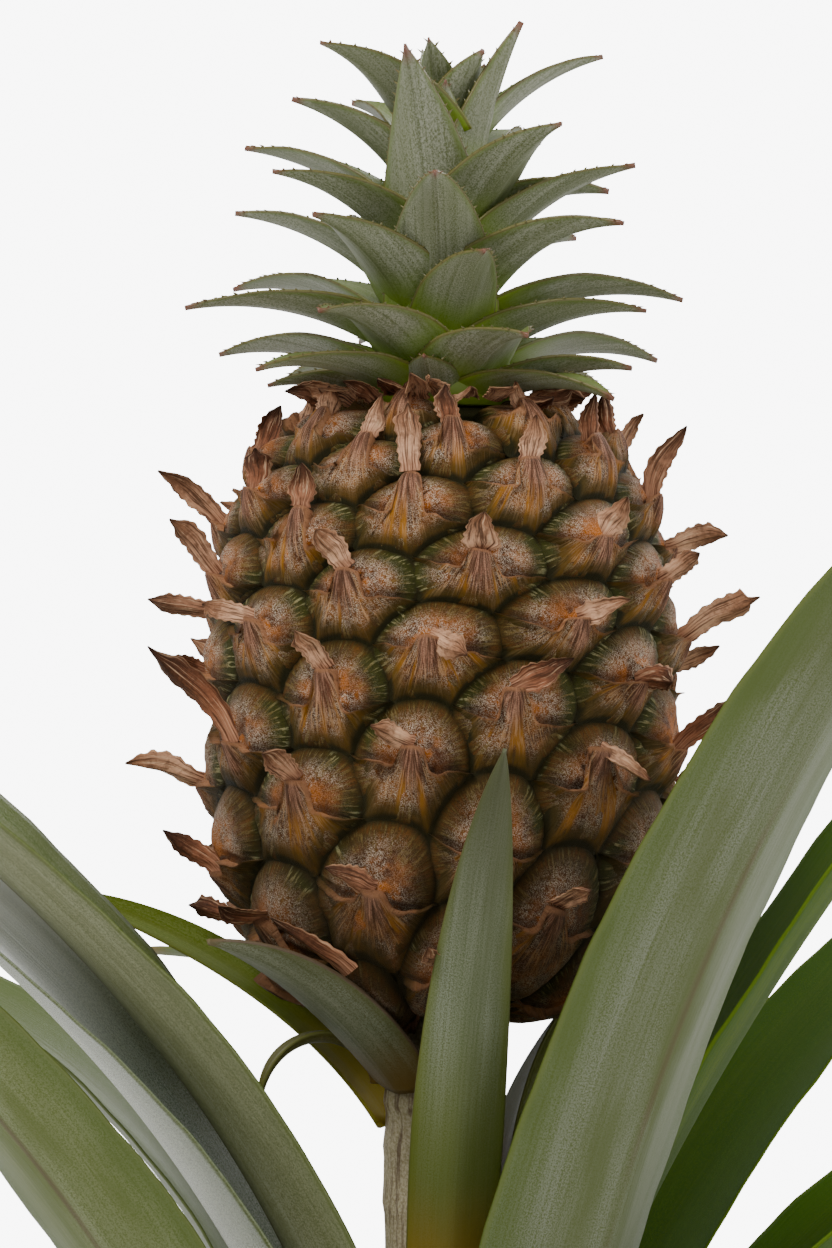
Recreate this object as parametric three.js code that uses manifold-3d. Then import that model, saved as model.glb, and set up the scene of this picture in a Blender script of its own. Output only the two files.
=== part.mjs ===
// A potted pineapple plant: a ripening fruit with its leafy crown on a stout stalk, above a rosette
// of long channelled leaves that are rooted in a plain clay pot.
// Millimetres, +Z up, with the origin at the centre of the pot's underside. A turn is an angle round
// the plant in degrees, 0 towards -Y and 90 towards +X. A lean is an angle away from upright.
import * as THREE from "three";
import { ConvexHull } from "three/addons/math/ConvexHull.js";
import { mergeVertices } from "three/addons/utils/BufferGeometryUtils.js";
import Module from "manifold-3d";

const wasm = await Module();
wasm.setup();

// Driving dimensions
const GAP = 0.3;
const GOLDEN_TURN = 137.6;
const LEAF_STEPS = 240;

const POT = {
  height: 130, footRadius: 51, rimRadius: 75, rimHeight: 27, rimStep: 4, lip: 1.5,
  wall: 6, floor: 8, sides: 32,
};
const DRAIN = { holes: 4, radius: 4.5, circle: 27, sides: 10 };
const SOIL = { top: 118, mound: 3, sides: 28 };
const STEM = { foot: 75, footRadius: 14, neck: 218, neckRadius: 11.6, top: 321.7, topRadius: 10.6 };

// The fruit is a squarish barrel. Its fruitlets follow one spiral, counted downwards, and sit at the
// heights middle + perFruitlet * m + tightening * m * m.
const FRUIT = { base: 322, height: 112, radius: 41.3, squareness: 3, poleRing: 8, poleCap: 17.5 };
const FRUITLET = {
  first: -45, last: 39, turn: 1.3, step: 137.596,
  middle: 389.43, perFruitlet: -1.3505, tightening: -0.009,
  dome: 2.7, groove: 0.9, shieldStep: 1.0, neckRise: 1.3, domeReach: 0.66, shieldReach: 0.62,
};

// Fruitlets whose centre lies off the spiral: [turn in degrees, rise in millimetres].
const FRUITLET_SHIFT = {
  "-29": [3.9, 0.6], "-26": [1.1, -1.2], "-21": [-0.8, 0.1], "-18": [-2.7, -2.3],
  "-16": [1, -0.6], "-13": [-3.9, -2.1], "-8": [-3.9, 0.2], "-5": [-0.6, -2.1], "-3": [1.9, -1.7],
  0: [-4.7, 1.4], 3: [-3, -1], 5: [3, -1.7], 8: [-6.1, 0.6], 10: [5, -2.4], 13: [3.1, -0.6],
  16: [-4, 0.6], 18: [6, 0.1], 21: [1.2, -2.3], 26: [4.4, -1.4], 29: [-3, -1.1],
};

// The dry strap that ends each fruitlet's bract: rise is how far above the fruitlet's centre it
// starts, aim is its heading over the skin, clockwise from up, lift is its angle out of the skin, and
// curl is how far the lift changes over its length. Those on the fruit's sides are twisted about
// their own length.
const STRAP = {
  length: 10.5, width: 5.2, neckWidth: 3.2, tipWidth: 1.4, thick: 1.1, sink: 1.2, lift: 58, aim: 28,
  rise: 3.5, twist: 75,
  stations: [0, 6, 14, 20], first: -41, last: 31, topRoom: 2.2, roomPerDrop: 0.7,
};
const STRAP_SHAPE = {
  "-40": { rise: 0.2, aim: -10, lift: 25, curl: 20, length: 9 },
  "-36": { rise: 0.2, aim: 0, lift: 28, curl: 20, length: 10 },
  "-32": { rise: 0.2, aim: -4, lift: 8, curl: 14, length: 17 },
  "-29": { rise: 5.5, aim: 6, lift: 12, curl: 10, length: 9 },
  "-27": { rise: 0.2, aim: 0, lift: 35, curl: 10, length: 8 },
  "-26": { rise: 4.6, aim: 20, lift: 14, curl: 16, length: 9 },
  "-24": { rise: 0.1, aim: 0, lift: 20, curl: 10, length: 8 },
  "-23": { rise: 0.1, aim: 4, lift: 32, curl: 34, length: 20 },
  "-21": { rise: 6.3, aim: -6, lift: 9, curl: 16, length: 14 },
  "-19": { rise: 0, aim: -6, lift: 62, curl: 14, length: 16 },
  "-18": { rise: 0, aim: 30, lift: 30, curl: 10, length: 9 },
  "-16": { rise: 6, aim: 5, lift: 15, curl: 20, length: 8 },
  "-15": { rise: -0.3, aim: 8, lift: 88, curl: 8, length: 12.5 },
  "-13": { rise: 2.8, aim: 0, lift: 62, curl: -46, length: 8, width: 8 },
  "-11": { rise: -0.5, aim: -14, lift: 42, curl: 16, length: 13.5 },
  "-10": { rise: -0.6, aim: 20, lift: 56, curl: 10, length: 9 },
  "-8": { rise: 3.5, aim: -35, lift: 25, curl: 20, length: 9 },
  "-6": { rise: -0.9, aim: 0, lift: 88, curl: -8, length: 14 },
  "-5": { rise: 1, aim: 72, lift: 34, curl: -14, length: 10 },
  "-3": { rise: 3, aim: -75, lift: 30, curl: 0, length: 11 },
  "-2": { rise: -1.2, aim: 4, lift: 60, curl: 8, length: 17 },
  0: { rise: 1.2, aim: 118, lift: 36, curl: -20, length: 9 },
  2: { rise: -1.6, aim: 0, lift: 70, curl: 10, length: 8 },
  3: { rise: -0.7, aim: 40, lift: 75, curl: 30, length: 8 },
  5: { rise: 5.2, aim: -30, lift: 20, curl: 16, length: 9 },
  8: { rise: 4.2, aim: 62, lift: 30, curl: -12, length: 12 },
  10: { rise: 0, aim: -24, lift: 12, curl: 46, length: 24, width: 6 },
  11: { rise: -2.6, aim: 8, lift: 44, curl: 8, length: 15 },
  13: { rise: 3, aim: -65, lift: 32, curl: -10, length: 9 },
  15: { rise: -3.1, aim: 6, lift: 68, curl: 8, length: 16 },
  16: { rise: 6, aim: 128, lift: 38, curl: -22, length: 11 },
  18: { rise: 4.2, aim: -22, lift: 34, curl: 40, length: 9 },
  21: { rise: 2, aim: -20, lift: 30, curl: 6, length: 9 },
  23: { rise: -4.3, aim: -16, lift: 30, curl: 20, length: 13 },
  26: { rise: 1, aim: -55, lift: 26, curl: -6, length: 10 },
  28: { rise: -5.1, aim: 0, lift: 60, curl: -8, length: 11 },
};

// The crown's leaves follow the spiral upwards round a core that narrows towards its tip. Higher
// leaves stand more upright, and the youngest, from the bud on, are short. One more leaf, extra,
// grows between two turns of the spiral.
const CROWN = {
  base: 434.3, first: -3, last: 41, extra: 13.1, step: -137.5, sink: 2.2,
  foot: 433.9, lowest: 435.6, perLeaf: 0.92, quickening: 0.0112, bud: 40,
  lean: 64, rising: 0.85, arch: 43, length: 36, shrinking: 0.36, budLength: 10.5, budArch: 12,
  width: 19, lowWidth: 16, budWidth: 8, tooth: 0.75, thick: 1.7, thinning: 0.4, cup: 0.42,
  steps: 6, budSteps: 4,
};
const CROWN_CORE = [[13.6, 434.3], [13.6, 438], [11.6, 448], [9, 464], [6.6, 481], [3.6, 496]];
const CROWN_SHAPE = {
  "-3": { turn: -5, length: 31 },
  "-2": { lean: [60, 104], length: 22 },
  0: { turn: -9, lean: [44, 66], length: 13, width: 13 },
  2: { turn: -16, lean: [57, 100], length: 27 },
  3: { turn: 5, lean: [64, 106], length: 35 },
  5: { turn: -11, lean: [57, 98], length: 31 },
  7: { lean: [62, 106], length: 37 },
  8: { turn: -13, lean: [54, 96], length: 32, width: 19.5 },
  11: { lean: [59, 102], length: 41, width: 19.5 },
  13: { turn: -1, lean: [44, 86], length: 31, width: 16.5 },
  13.1: { turn: -1, lean: [14, 80], length: 41, width: 22 },
  14: { lean: [55, 97], length: 42 },
  15: { lean: [60, 105], length: 38 },
  16: { turn: 2, lean: [40, 82], length: 34, width: 20.5 },
  18: { lean: [50, 95], length: 40, width: 19.5 },
  19: { lean: [42, 84], length: 35 },
  21: { turn: -8, lean: [6, 42], length: 45, width: 22 },
  23: { lean: [37, 80], length: 35 },
  24: { turn: 1, lean: [43, 85], length: 33 },
  26: { turn: 12, lean: [36, 78], length: 35, width: 19.5 },
  27: { turn: 4, lean: [42, 82], length: 38 },
  28: { turn: -12, lean: [54, 96], length: 27 },
  29: { lean: [4, 24], length: 25, width: 18 },
  31: { turn: 8, lean: [8, 28], length: 34, width: 17 },
  32: { turn: -3, lean: [32, 75], length: 29 },
  34: { turn: -2, lean: [14, 26], length: 17, width: 12 },
  36: { turn: 14, lean: [33, 75], length: 34, width: 15 },
  37: { turn: -2, lean: [35, 78], length: 31 },
  39: { lean: [20, 50], length: 16, width: 12 },
};

// Leaves on the fruit's stalk and leaves of the rosette. Each one leaves the stem at foot, leans out
// from lean[0] to lean[1] over its length, later if bend is above 1, swings sideways and rolls.
const STALK_LEAVES = [
  { turn: 6, foot: 268, lean: [13, 42],
    length: 123, width: 17.5, bend: 0.65, swing: 4, roll: -12, cup: 0.22 },
  { turn: -39, foot: 309, lean: [45, 80],
    length: 64, width: 17, bend: 1.15, swing: 2, roll: 16, cup: 0.15 },
  { turn: -118, foot: 300.5, lean: [35, 73.5],
    length: 79, width: 13.5, bend: 0.81, swing: 40, roll: -47, cup: 0.2 },
  { turn: 112, foot: 290, lean: [12, 40],
    length: 40, width: 13, bend: 1.2, swing: -8, roll: -20, cup: 0.2 },
  { turn: -90, foot: 308.6, lean: [5, 168],
    length: 34.5, width: 7, bend: 0.85, swing: 40, roll: 12, cup: 0.18 },
];
const ROSETTE = {
  leaves: 20, topTurn: 158, topFoot: 232, perLeaf: 5.4,
  length: 290, width: 34, lean: [18, 92], leanByAge: [34, 20], bend: 1.05, cup: 0.38,
  thick: 2.2, thinning: 0.5, rim: 0.9, steps: 9, crowding: 1.15,
};
const ROSETTE_SHAPE = {
  0: { turn: -13.5, foot: 200, lean: [29, 104],
    length: 259, width: 26, bend: 0.98, swing: 18, roll: 0, cup: 0.3 },
  1: { turn: -4, foot: 233, lean: [8, 76],
    length: 300, width: 36.5, bend: 0.7, swing: -4, roll: -29, cup: 0.5 },
  2: { turn: 21.4, foot: 218.3, lean: [9.3, 50], length: 290, width: 32, bend: 0.6, swing: 1, roll: 0 },
  3: { turn: -47, foot: 230.5, lean: [13, 91.3],
    length: 250, width: 22, bend: 0.4, swing: 69, roll: 22, cup: 0.3 },
  4: { turn: -9, foot: 150, lean: [52, 100] },
  5: { turn: 3.4, foot: 206.5, lean: [29, 90], length: 280, width: 34, bend: 1.3, swing: 0, roll: 0 },
  6: { turn: 21, foot: 212, lean: [8, 78],
    length: 290, width: 36, bend: 0.82, swing: -7, roll: -48, cup: 0.45 },
  7: { turn: 5, foot: 188, lean: [9, 60],
    length: 312, width: 41, bend: 1.25, swing: -12, roll: -11, cup: 0.48 },
  8: { turn: -4, foot: 172.6, lean: [40, 110] },
  9: { turn: -2, foot: 174, lean: [24.5, 75],
    length: 295, width: 33.5, bend: 1.35, swing: 15, roll: 24, cup: 0.33 },
  10: { turn: -15, foot: 172, lean: [13, 108],
    length: 289, width: 35.5, bend: 1.21, swing: 13, roll: 20, cup: 0.48 },
  11: { turn: 16.6, foot: 180, lean: [6, 135], length: 285, width: 32, bend: 1.45, swing: 3, roll: 0 },
  15: { turn: -1.7, foot: 160, lean: [41, 114] },
};

const COLOURS = {
  clay: 0xb5653f, soil: 0x3b2c22, stem: 0xa89a85, leaf: 0x6f8062, stalkLeaf: 0x7d8f6c,
  crown: 0x7f9473, fruit: 0x8a5f3c,
};

const radians = (degrees) => (degrees * Math.PI) / 180;

// A repeatable draw between -1 and 1 for one member of a series.
function draw(member, series) {
  const value = Math.sin(member * 12.9898 + series * 78.233) * 43758.5453;
  return 2 * (value - Math.floor(value)) - 1;
}

// The horizontal direction at a turn, and the one square to it, towards larger turns.
const outward = (turn) => new THREE.Vector3(Math.sin(radians(turn)), -Math.cos(radians(turn)), 0);
const sideways = (turn) => new THREE.Vector3(Math.cos(radians(turn)), Math.sin(radians(turn)), 0);

// A closed solid from points and triangles, and a mesh geometry from a solid.
function solidOf(points, triangles) {
  const vertProperties = new Float32Array(points.flatMap((p) => [p.x, p.y, p.z]));
  const triVerts = new Uint32Array(triangles.flat());
  return new wasm.Manifold(new wasm.Mesh({ numProp: 3, vertProperties, triVerts }));
}

function geometryOf(solid) {
  const { vertProperties, triVerts } = solid.getMesh();
  const geometry = new THREE.BufferGeometry();
  geometry.setAttribute("position", new THREE.BufferAttribute(Float32Array.from(vertProperties), 3));
  geometry.setIndex(new THREE.BufferAttribute(Uint32Array.from(triVerts), 1));
  geometry.computeVertexNormals();
  return geometry;
}

// A solid of revolution about +Z from a profile of [radius, height] that starts and ends on the axis.
function turned(profile, sides) {
  const outline = profile.map(([radius, height]) => new THREE.Vector2(radius, height));
  const lathe = new THREE.LatheGeometry(outline, sides).rotateX(Math.PI / 2);
  lathe.deleteAttribute("normal");
  lathe.deleteAttribute("uv");
  const merged = mergeVertices(lathe, 1e-4);
  const { array } = merged.attributes.position;
  const points = [];
  for (let i = 0; i < array.length; i += 3) {
    points.push(new THREE.Vector3(array[i], array[i + 1], array[i + 2]));
  }
  const triangles = [];
  for (let i = 0; i < merged.index.count; i += 3) {
    const [a, b, c] = merged.index.array.slice(i, i + 3);
    if (a !== b && b !== c && c !== a) triangles.push([a, b, c]);
  }
  return solidOf(points, triangles);
}

// A height read along a chain of [value, height] points.
function along(chain, height) {
  const next = chain.findIndex(([, z]) => z >= height);
  if (next <= 0) return next === 0 ? chain[0][0] : chain[chain.length - 1][0];
  const [v0, z0] = chain[next - 1];
  const [v1, z1] = chain[next];
  return v0 + ((v1 - v0) * (height - z0)) / (z1 - z0);
}

// Pot and soil
const potRadius = (height) => POT.footRadius
  + ((POT.rimRadius - POT.rimStep - POT.footRadius) * height) / (POT.height - POT.rimHeight);

function pot() {
  const shoulder = POT.height - POT.rimHeight;
  const shell = turned([
    [0, 0], [POT.footRadius, 0], [potRadius(shoulder), shoulder],
    [POT.rimRadius - POT.lip, shoulder + POT.lip], [POT.rimRadius, POT.height - POT.lip],
    [POT.rimRadius - POT.lip, POT.height], [POT.rimRadius - POT.wall, POT.height],
    [potRadius(shoulder) - POT.wall, shoulder], [potRadius(POT.floor) - POT.wall, POT.floor],
    [0, POT.floor],
  ], POT.sides);
  const drain = turned([
    [0, -1], [DRAIN.radius, -1], [DRAIN.radius, POT.floor + 1], [0, POT.floor + 1],
  ], DRAIN.sides);
  let holed = shell;
  for (let hole = 0; hole < DRAIN.holes; hole += 1) {
    const { x, y } = outward(45 + (360 * hole) / DRAIN.holes).multiplyScalar(DRAIN.circle);
    holed = holed.subtract(drain.translate([x, y, 0]));
  }
  return holed;
}

function soil() {
  const shoulder = POT.height - POT.rimHeight;
  const rimSlope = (POT.rimRadius - potRadius(shoulder)) / POT.rimHeight;
  const topRadius = potRadius(shoulder) - POT.wall + rimSlope * (SOIL.top - shoulder);
  const holeRadius = STEM.footRadius + 2 * GAP;
  return turned([
    [0, POT.floor + GAP], [potRadius(POT.floor) - POT.wall - 2 * GAP, POT.floor + GAP],
    [potRadius(shoulder) - POT.wall - 2 * GAP, shoulder], [topRadius - 2 * GAP, SOIL.top],
    [(topRadius + holeRadius) / 2, SOIL.top + SOIL.mound], [holeRadius, SOIL.top + SOIL.mound / 2],
    [holeRadius, STEM.foot - GAP], [0, STEM.foot - GAP],
  ], SOIL.sides);
}

// Stem and stalk, grown as one
const STEM_OUTLINE = [
  [STEM.footRadius, STEM.foot], [STEM.footRadius, STEM.neck - 22], [STEM.neckRadius, STEM.neck],
  [STEM.topRadius, STEM.top],
];
const stemRadius = (height) => along(STEM_OUTLINE, height);

function stem() {
  return turned([
    [0, STEM.foot], [STEM.footRadius - 1, STEM.foot], [STEM.footRadius, STEM.foot + 2],
    ...STEM_OUTLINE.slice(1), [0, STEM.top],
  ], 20);
}

// A closed body from a chain of rings with the same number of points, each clockwise as seen from
// further along the chain. Both halves of a ring are split into triangles alike.
const CAPS = {
  3: [[0, 1, 2]],
  4: [[0, 1, 3], [1, 2, 3]],
  6: [[0, 1, 4], [0, 4, 5], [1, 2, 3], [1, 3, 4]],
};

function chainSolid(rings) {
  const size = rings[0].length;
  const triangles = CAPS[size].map((cap) => [...cap]);
  for (let k = 0; k + 1 < rings.length; k += 1) {
    for (let j = 0; j < size; j += 1) {
      const a = k * size + j;
      const b = k * size + ((j + 1) % size);
      if (2 * j < size) triangles.push([a, b + size, b], [a, a + size, b + size]);
      else triangles.push([a, a + size, b], [b, a + size, b + size]);
    }
  }
  const last = (rings.length - 1) * size;
  for (const [a, b, c] of CAPS[size]) triangles.push([last + a, last + c, last + b]);
  return solidOf(rings.flat(), triangles);
}

// A point of a section: across it by a share of its half width, and up from its inner face.
const sectionPoint = ({ at, side, face, half }, across, up) => at.clone()
  .addScaledVector(side, across * half).addScaledVector(face, up);

// The section of a long leaf has blunt edges, and that of a crown leaf has sharp ones.
function bluntSection(section) {
  const { cup, thick, rim } = section;
  return [
    sectionPoint(section, -1, cup), sectionPoint(section, 0, 0), sectionPoint(section, 1, cup),
    sectionPoint(section, 1, cup - rim), sectionPoint(section, 0, -thick),
    sectionPoint(section, -1, cup - rim),
  ];
}

function sharpSection(section) {
  return [
    sectionPoint(section, -1, section.cup), sectionPoint(section, 0, 0),
    sectionPoint(section, 1, section.cup), sectionPoint(section, 0, -section.thick),
  ];
}

// The middle line of a leaf and its frame at each of the given shares of its length.
function leafFrames({ start, turn, lean, length, bend = 1, swing = 0, roll = 0 }, shares) {
  const at = start.clone();
  const frames = [];
  for (let i = 0; i <= LEAF_STEPS; i += 1) {
    const share = i / LEAF_STEPS;
    const heading = turn + swing * share;
    const angle = radians(lean[0] + (lean[1] - lean[0]) * share ** bend);
    const out = outward(heading);
    const run = out.clone().multiplyScalar(Math.sin(angle)).setZ(Math.cos(angle));
    const inner = out.clone().multiplyScalar(-Math.cos(angle)).setZ(Math.sin(angle));
    const across = sideways(heading);
    across.applyAxisAngle(run, radians(roll * share));
    inner.applyAxisAngle(run, radians(roll * share));
    while (frames.length < shares.length && share >= shares[frames.length] - 1e-9) {
      const station = shares[frames.length];
      frames.push({ share: station, at: at.clone(), side: across.clone(), face: inner.clone() });
    }
    at.addScaledVector(run, length / LEAF_STEPS);
  }
  return frames;
}

// Half the width of a leaf over its length, as a share of its greatest half width. It widens from
// the foot up to WIDEST, and a fuller leaf keeps its width for longer.
const WIDEST = 0.3;
const outlineFrom = (foot, fullness, taper) => (share) => (
  (foot + (1 - foot) * Math.min(1, share / WIDEST)) * (1 - share ** fullness) ** taper
);
const longOutline = outlineFrom(0.68, 2.6, 0.85);
const stalkOutline = outlineFrom(0.9, 2.6, 0.85);
const crownOutline = outlineFrom(0.95, 1.5, 1);

function longLeaf({ turn, foot, lean, length, width, bend, swing, roll, cup }, outline, steps) {
  const shares = Array.from({ length: steps + 1 }, (_, k) => 1 - (1 - k / steps) ** ROSETTE.crowding);
  const wedge = cup * Math.cos(radians(lean[0]));
  const start = outward(turn).multiplyScalar((stemRadius(foot) + GAP) * Math.hypot(1, wedge)).setZ(foot);
  const frames = leafFrames({ start, turn, lean, length, bend, swing, roll }, shares);
  return chainSolid(frames.map((frame) => {
    const half = Math.max(0.5, (width / 2) * outline(frame.share));
    const thick = ROSETTE.thick * (1 - ROSETTE.thinning * frame.share);
    return bluntSection({ ...frame, half, cup: half * cup, thick, rim: ROSETTE.rim });
  }));
}

const rosetteLeaves = Array.from({ length: ROSETTE.leaves }, (_, n) => {
  const age = n / (ROSETTE.leaves - 1);
  const nudge = ROSETTE_SHAPE[n] ?? {};
  return {
    foot: ROSETTE.topFoot - ROSETTE.perLeaf * n,
    lean: ROSETTE.lean.map((lean, end) => lean + ROSETTE.leanByAge[end] * age + 4 * draw(n, 3 + end)),
    length: ROSETTE.length + 30 * draw(n, 1),
    width: ROSETTE.width + 1.5 * draw(n, 2),
    bend: ROSETTE.bend,
    swing: 10 * draw(n, 5),
    roll: 8 * draw(n, 6),
    cup: ROSETTE.cup,
    ...nudge,
    turn: ROSETTE.topTurn + GOLDEN_TURN * n + (nudge.turn ?? 0),
  };
});

// The crown: a core with toothed leaves rooted in it.
function crownLeaf(n) {
  const young = n >= CROWN.bud;
  const lean = CROWN.lean - CROWN.rising * n + 4 * draw(n, 11);
  const shape = {
    lean: [lean, lean + (young ? CROWN.budArch : CROWN.arch)],
    length: young ? CROWN.budLength + 2 * draw(n, 13) : CROWN.length - CROWN.shrinking * n,
    width: young ? CROWN.budWidth : n < 4 ? CROWN.lowWidth : CROWN.width,
    ...CROWN_SHAPE[n],
  };
  const foot = Math.max(CROWN.lowest, CROWN.foot + CROWN.perLeaf * n + CROWN.quickening * n * n);
  const turn = CROWN.step * n + (shape.turn ?? 0);
  const start = outward(turn).multiplyScalar(along(CROWN_CORE, foot) - CROWN.sink).setZ(foot);
  const steps = young ? CROWN.budSteps : CROWN.steps;
  const shares = Array.from({ length: steps + 1 }, (_, k) => k / steps);
  const frames = leafFrames({ ...shape, start, turn }, shares);
  return chainSolid(frames.map((frame, k) => {
    const tooth = k % 2 === 1 ? CROWN.tooth : 0;
    const half = Math.max(0.45, (shape.width / 2) * crownOutline(frame.share)) + tooth;
    const thick = CROWN.thick * (1 - CROWN.thinning * frame.share);
    return sharpSection({ ...frame, half, cup: half * CROWN.cup, thick });
  }));
}

function crown() {
  let joined = turned([[0, CROWN.base], ...CROWN_CORE, [0, CROWN_CORE.at(-1)[1] + 1]], 16);
  for (let n = CROWN.first; n <= CROWN.last; n += 1) joined = joined.add(crownLeaf(n));
  return joined.add(crownLeaf(CROWN.extra));
}

// The fruit's barrel as a table from its lower pole to its upper one: radius, height, distance along
// the skin and the latitude that maps the skin onto a globe with its angles kept.
function barrelTable() {
  const steps = 1200;
  const half = FRUIT.height / 2;
  const rows = [];
  for (let i = 0; i <= steps; i += 1) {
    const angle = Math.PI * (i / steps - 0.5);
    const power = 2 / FRUIT.squareness;
    const radius = FRUIT.radius * Math.max(0, Math.cos(angle)) ** power;
    const height = FRUIT.base + half + half * Math.sign(Math.sin(angle)) * Math.abs(Math.sin(angle)) ** power;
    const last = rows.at(-1);
    const run = last ? Math.hypot(radius - last.radius, height - last.height) : 0;
    const mean = last ? Math.max(0.05, (radius + last.radius) / 2) : 1;
    rows.push({ radius, height, skin: (last?.skin ?? 0) + run, stretch: (last?.stretch ?? 0) + run / mean });
  }
  const middle = rows[steps / 2].stretch;
  for (const row of rows) {
    row.latitude = 2 * Math.atan(Math.exp(row.stretch - middle)) - Math.PI / 2;
  }
  return rows;
}

const BARREL = barrelTable();

// The row of the barrel where one of its columns, which all grow upwards, reaches a value.
function barrelAt(column, value) {
  let low = 0;
  let high = BARREL.length - 1;
  while (high - low > 1) {
    const middle = (low + high) >> 1;
    if (BARREL[middle][column] > value) high = middle;
    else low = middle;
  }
  const a = BARREL[low];
  const b = BARREL[high];
  const part = Math.min(1, Math.max(0, (value - a[column]) / (b[column] - a[column] || 1)));
  const blend = (key) => a[key] + (b[key] - a[key]) * part;
  const slope = new THREE.Vector2(b.radius - a.radius, b.height - a.height).normalize();
  return {
    radius: blend("radius"), height: blend("height"), skin: blend("skin"), latitude: blend("latitude"), slope,
  };
}

const SKIN_LENGTH = BARREL.at(-1).skin;

function fruitletCentre(m) {
  const [turn, rise] = FRUITLET_SHIFT[m] ?? [0, 0];
  const height = FRUITLET.middle + FRUITLET.perFruitlet * m + FRUITLET.tightening * m * m + rise;
  return { turn: FRUITLET.turn + FRUITLET.step * m + turn, skin: barrelAt("height", height).skin };
}

// A place on the skin that is off a centre by a distance to the right and a distance upwards.
function skinPlace(centre, right, up) {
  const skin = Math.min(SKIN_LENGTH - 3, Math.max(3, centre.skin + up));
  const { radius } = barrelAt("skin", skin);
  return { turn: centre.turn + (right / Math.max(4, radius)) * (180 / Math.PI), skin };
}

function skinPoint({ turn, skin }, raise) {
  const { radius, height, slope } = barrelAt("skin", skin);
  return outward(turn).multiplyScalar(radius + raise * slope.y).setZ(height - raise * slope.x);
}

// How far to the right of a centre, and above it, another fruitlet or corner lies.
function offset(from, to) {
  const around = ((to.turn - from.turn + 540) % 360 + 360) % 360 - 180;
  const { radius } = barrelAt("skin", (from.skin + to.skin) / 2);
  return [radians(around) * radius, to.skin - from.skin];
}

// The corner where three neighbouring fruitlets meet, as an offset from the first of them.
function corner(m, second, third) {
  const centre = fruitletCentre(m);
  const [r1, u1] = offset(centre, fruitletCentre(second));
  const [r2, u2] = offset(centre, fruitletCentre(third));
  return [(r1 + r2) / 3, (u1 + u2) / 3];
}

// The six corners of a fruitlet, clockwise from the top one.
const corners = (m) => [
  corner(m, m - 8, m - 13), corner(m, m - 13, m - 5), corner(m, m - 5, m + 8),
  corner(m, m + 8, m + 13), corner(m, m + 13, m + 5), corner(m, m + 5, m - 8),
];

// How far above a fruitlet's centre its strap starts.
const neckOf = (m) => STRAP_SHAPE[m]?.rise ?? STRAP.rise;

// Sample places of one fruitlet's relief. The dome fills the upper half. Below the margin that runs
// from the side corners to the neck lies the bract's shield, one step proud of the dome. The neck
// stands up from the shield.
function fruitletRelief(m) {
  const centre = fruitletCentre(m);
  const [top, upperRight, right, bottom, lowerLeft, left] = corners(m);
  const mix = (a, b, t) => [a[0] + (b[0] - a[0]) * t, a[1] + (b[1] - a[1]) * t];
  const pillow = (reach) => FRUITLET.dome * Math.sqrt(Math.max(0, 1 - reach * reach));
  const samples = [];
  const add = ([r, u], reach, raise) => {
    samples.push({ place: skinPlace(centre, r * reach, u * reach), raise });
  };
  for (const middle of [mix(bottom, lowerLeft, 0.5), mix(right, bottom, 0.5), mix(lowerLeft, left, 0.5)]) {
    add(middle, 1, -FRUITLET.groove);
  }
  add(bottom, 1, -FRUITLET.groove);
  add(lowerLeft, 1, -FRUITLET.groove);
  for (const point of [mix(left, top, 0.5), top, upperRight, mix(upperRight, right, 0.45)]) {
    add(point, FRUITLET.domeReach, pillow(FRUITLET.domeReach));
  }
  for (const point of [mix(right, bottom, 0.5), bottom, lowerLeft]) {
    add(point, FRUITLET.shieldReach, pillow(FRUITLET.shieldReach) + FRUITLET.shieldStep * 0.6);
  }
  for (const side of [left, right]) {
    for (const reach of [0.34, 0.72]) {
      const wave = 0.5 * draw(m, side === left ? 21 : 22);
      const raise = pillow(reach);
      const low = [side[0] * reach, side[1] * reach + 0.9 + wave];
      const high = [side[0] * reach, side[1] * reach + wave];
      samples.push({ place: skinPlace(centre, ...low), raise: raise - 0.3 });
      samples.push({ place: skinPlace(centre, ...high), raise: raise + FRUITLET.shieldStep });
    }
  }
  const neck = neckOf(m);
  samples.push({ place: skinPlace(centre, 0, neck + 1.7), raise: FRUITLET.dome - 0.5 });
  samples.push({ place: skinPlace(centre, 0, neck), raise: FRUITLET.dome + FRUITLET.neckRise });
  if (neck > 2) samples.push({ place: centre, raise: FRUITLET.dome + FRUITLET.neckRise * 0.8 });
  return samples;
}

// The whole skin in one piece. Its triangles are those of the hull of the samples on the globe.
function skinSolid() {
  const samples = [];
  for (let m = FRUITLET.first; m <= FRUITLET.last; m += 1) samples.push(...fruitletRelief(m));
  for (let i = 0; i < 6; i += 1) {
    for (const end of [FRUIT.poleRing, SKIN_LENGTH - FRUIT.poleRing]) {
      samples.push({ place: { turn: 60 * i + 7, skin: end }, raise: -FRUITLET.groove });
    }
  }
  for (const end of [0, SKIN_LENGTH]) samples.push({ place: { turn: 0, skin: end }, raise: 0 });
  const globe = samples.map(({ place }) => {
    const { latitude } = barrelAt("skin", place.skin);
    return outward(place.turn).multiplyScalar(Math.cos(latitude)).setZ(Math.sin(latitude));
  });
  const seen = new Map(globe.map((point, index) => [point, index]));
  const hull = new ConvexHull().setFromPoints(globe);
  const triangles = hull.faces.map(({ edge }) => (
    [edge.prev, edge, edge.next].map((half) => seen.get(half.head().point))
  ));
  const points = samples.map(({ place, raise }) => {
    const point = skinPoint(place, raise);
    const reach = Math.hypot(point.x, point.y);
    if (reach < FRUIT.poleCap) {
      point.z = Math.min(FRUIT.base + FRUIT.height - GAP, Math.max(FRUIT.base + GAP / 2, point.z));
    }
    return point;
  });
  return solidOf(points, triangles);
}

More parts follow.
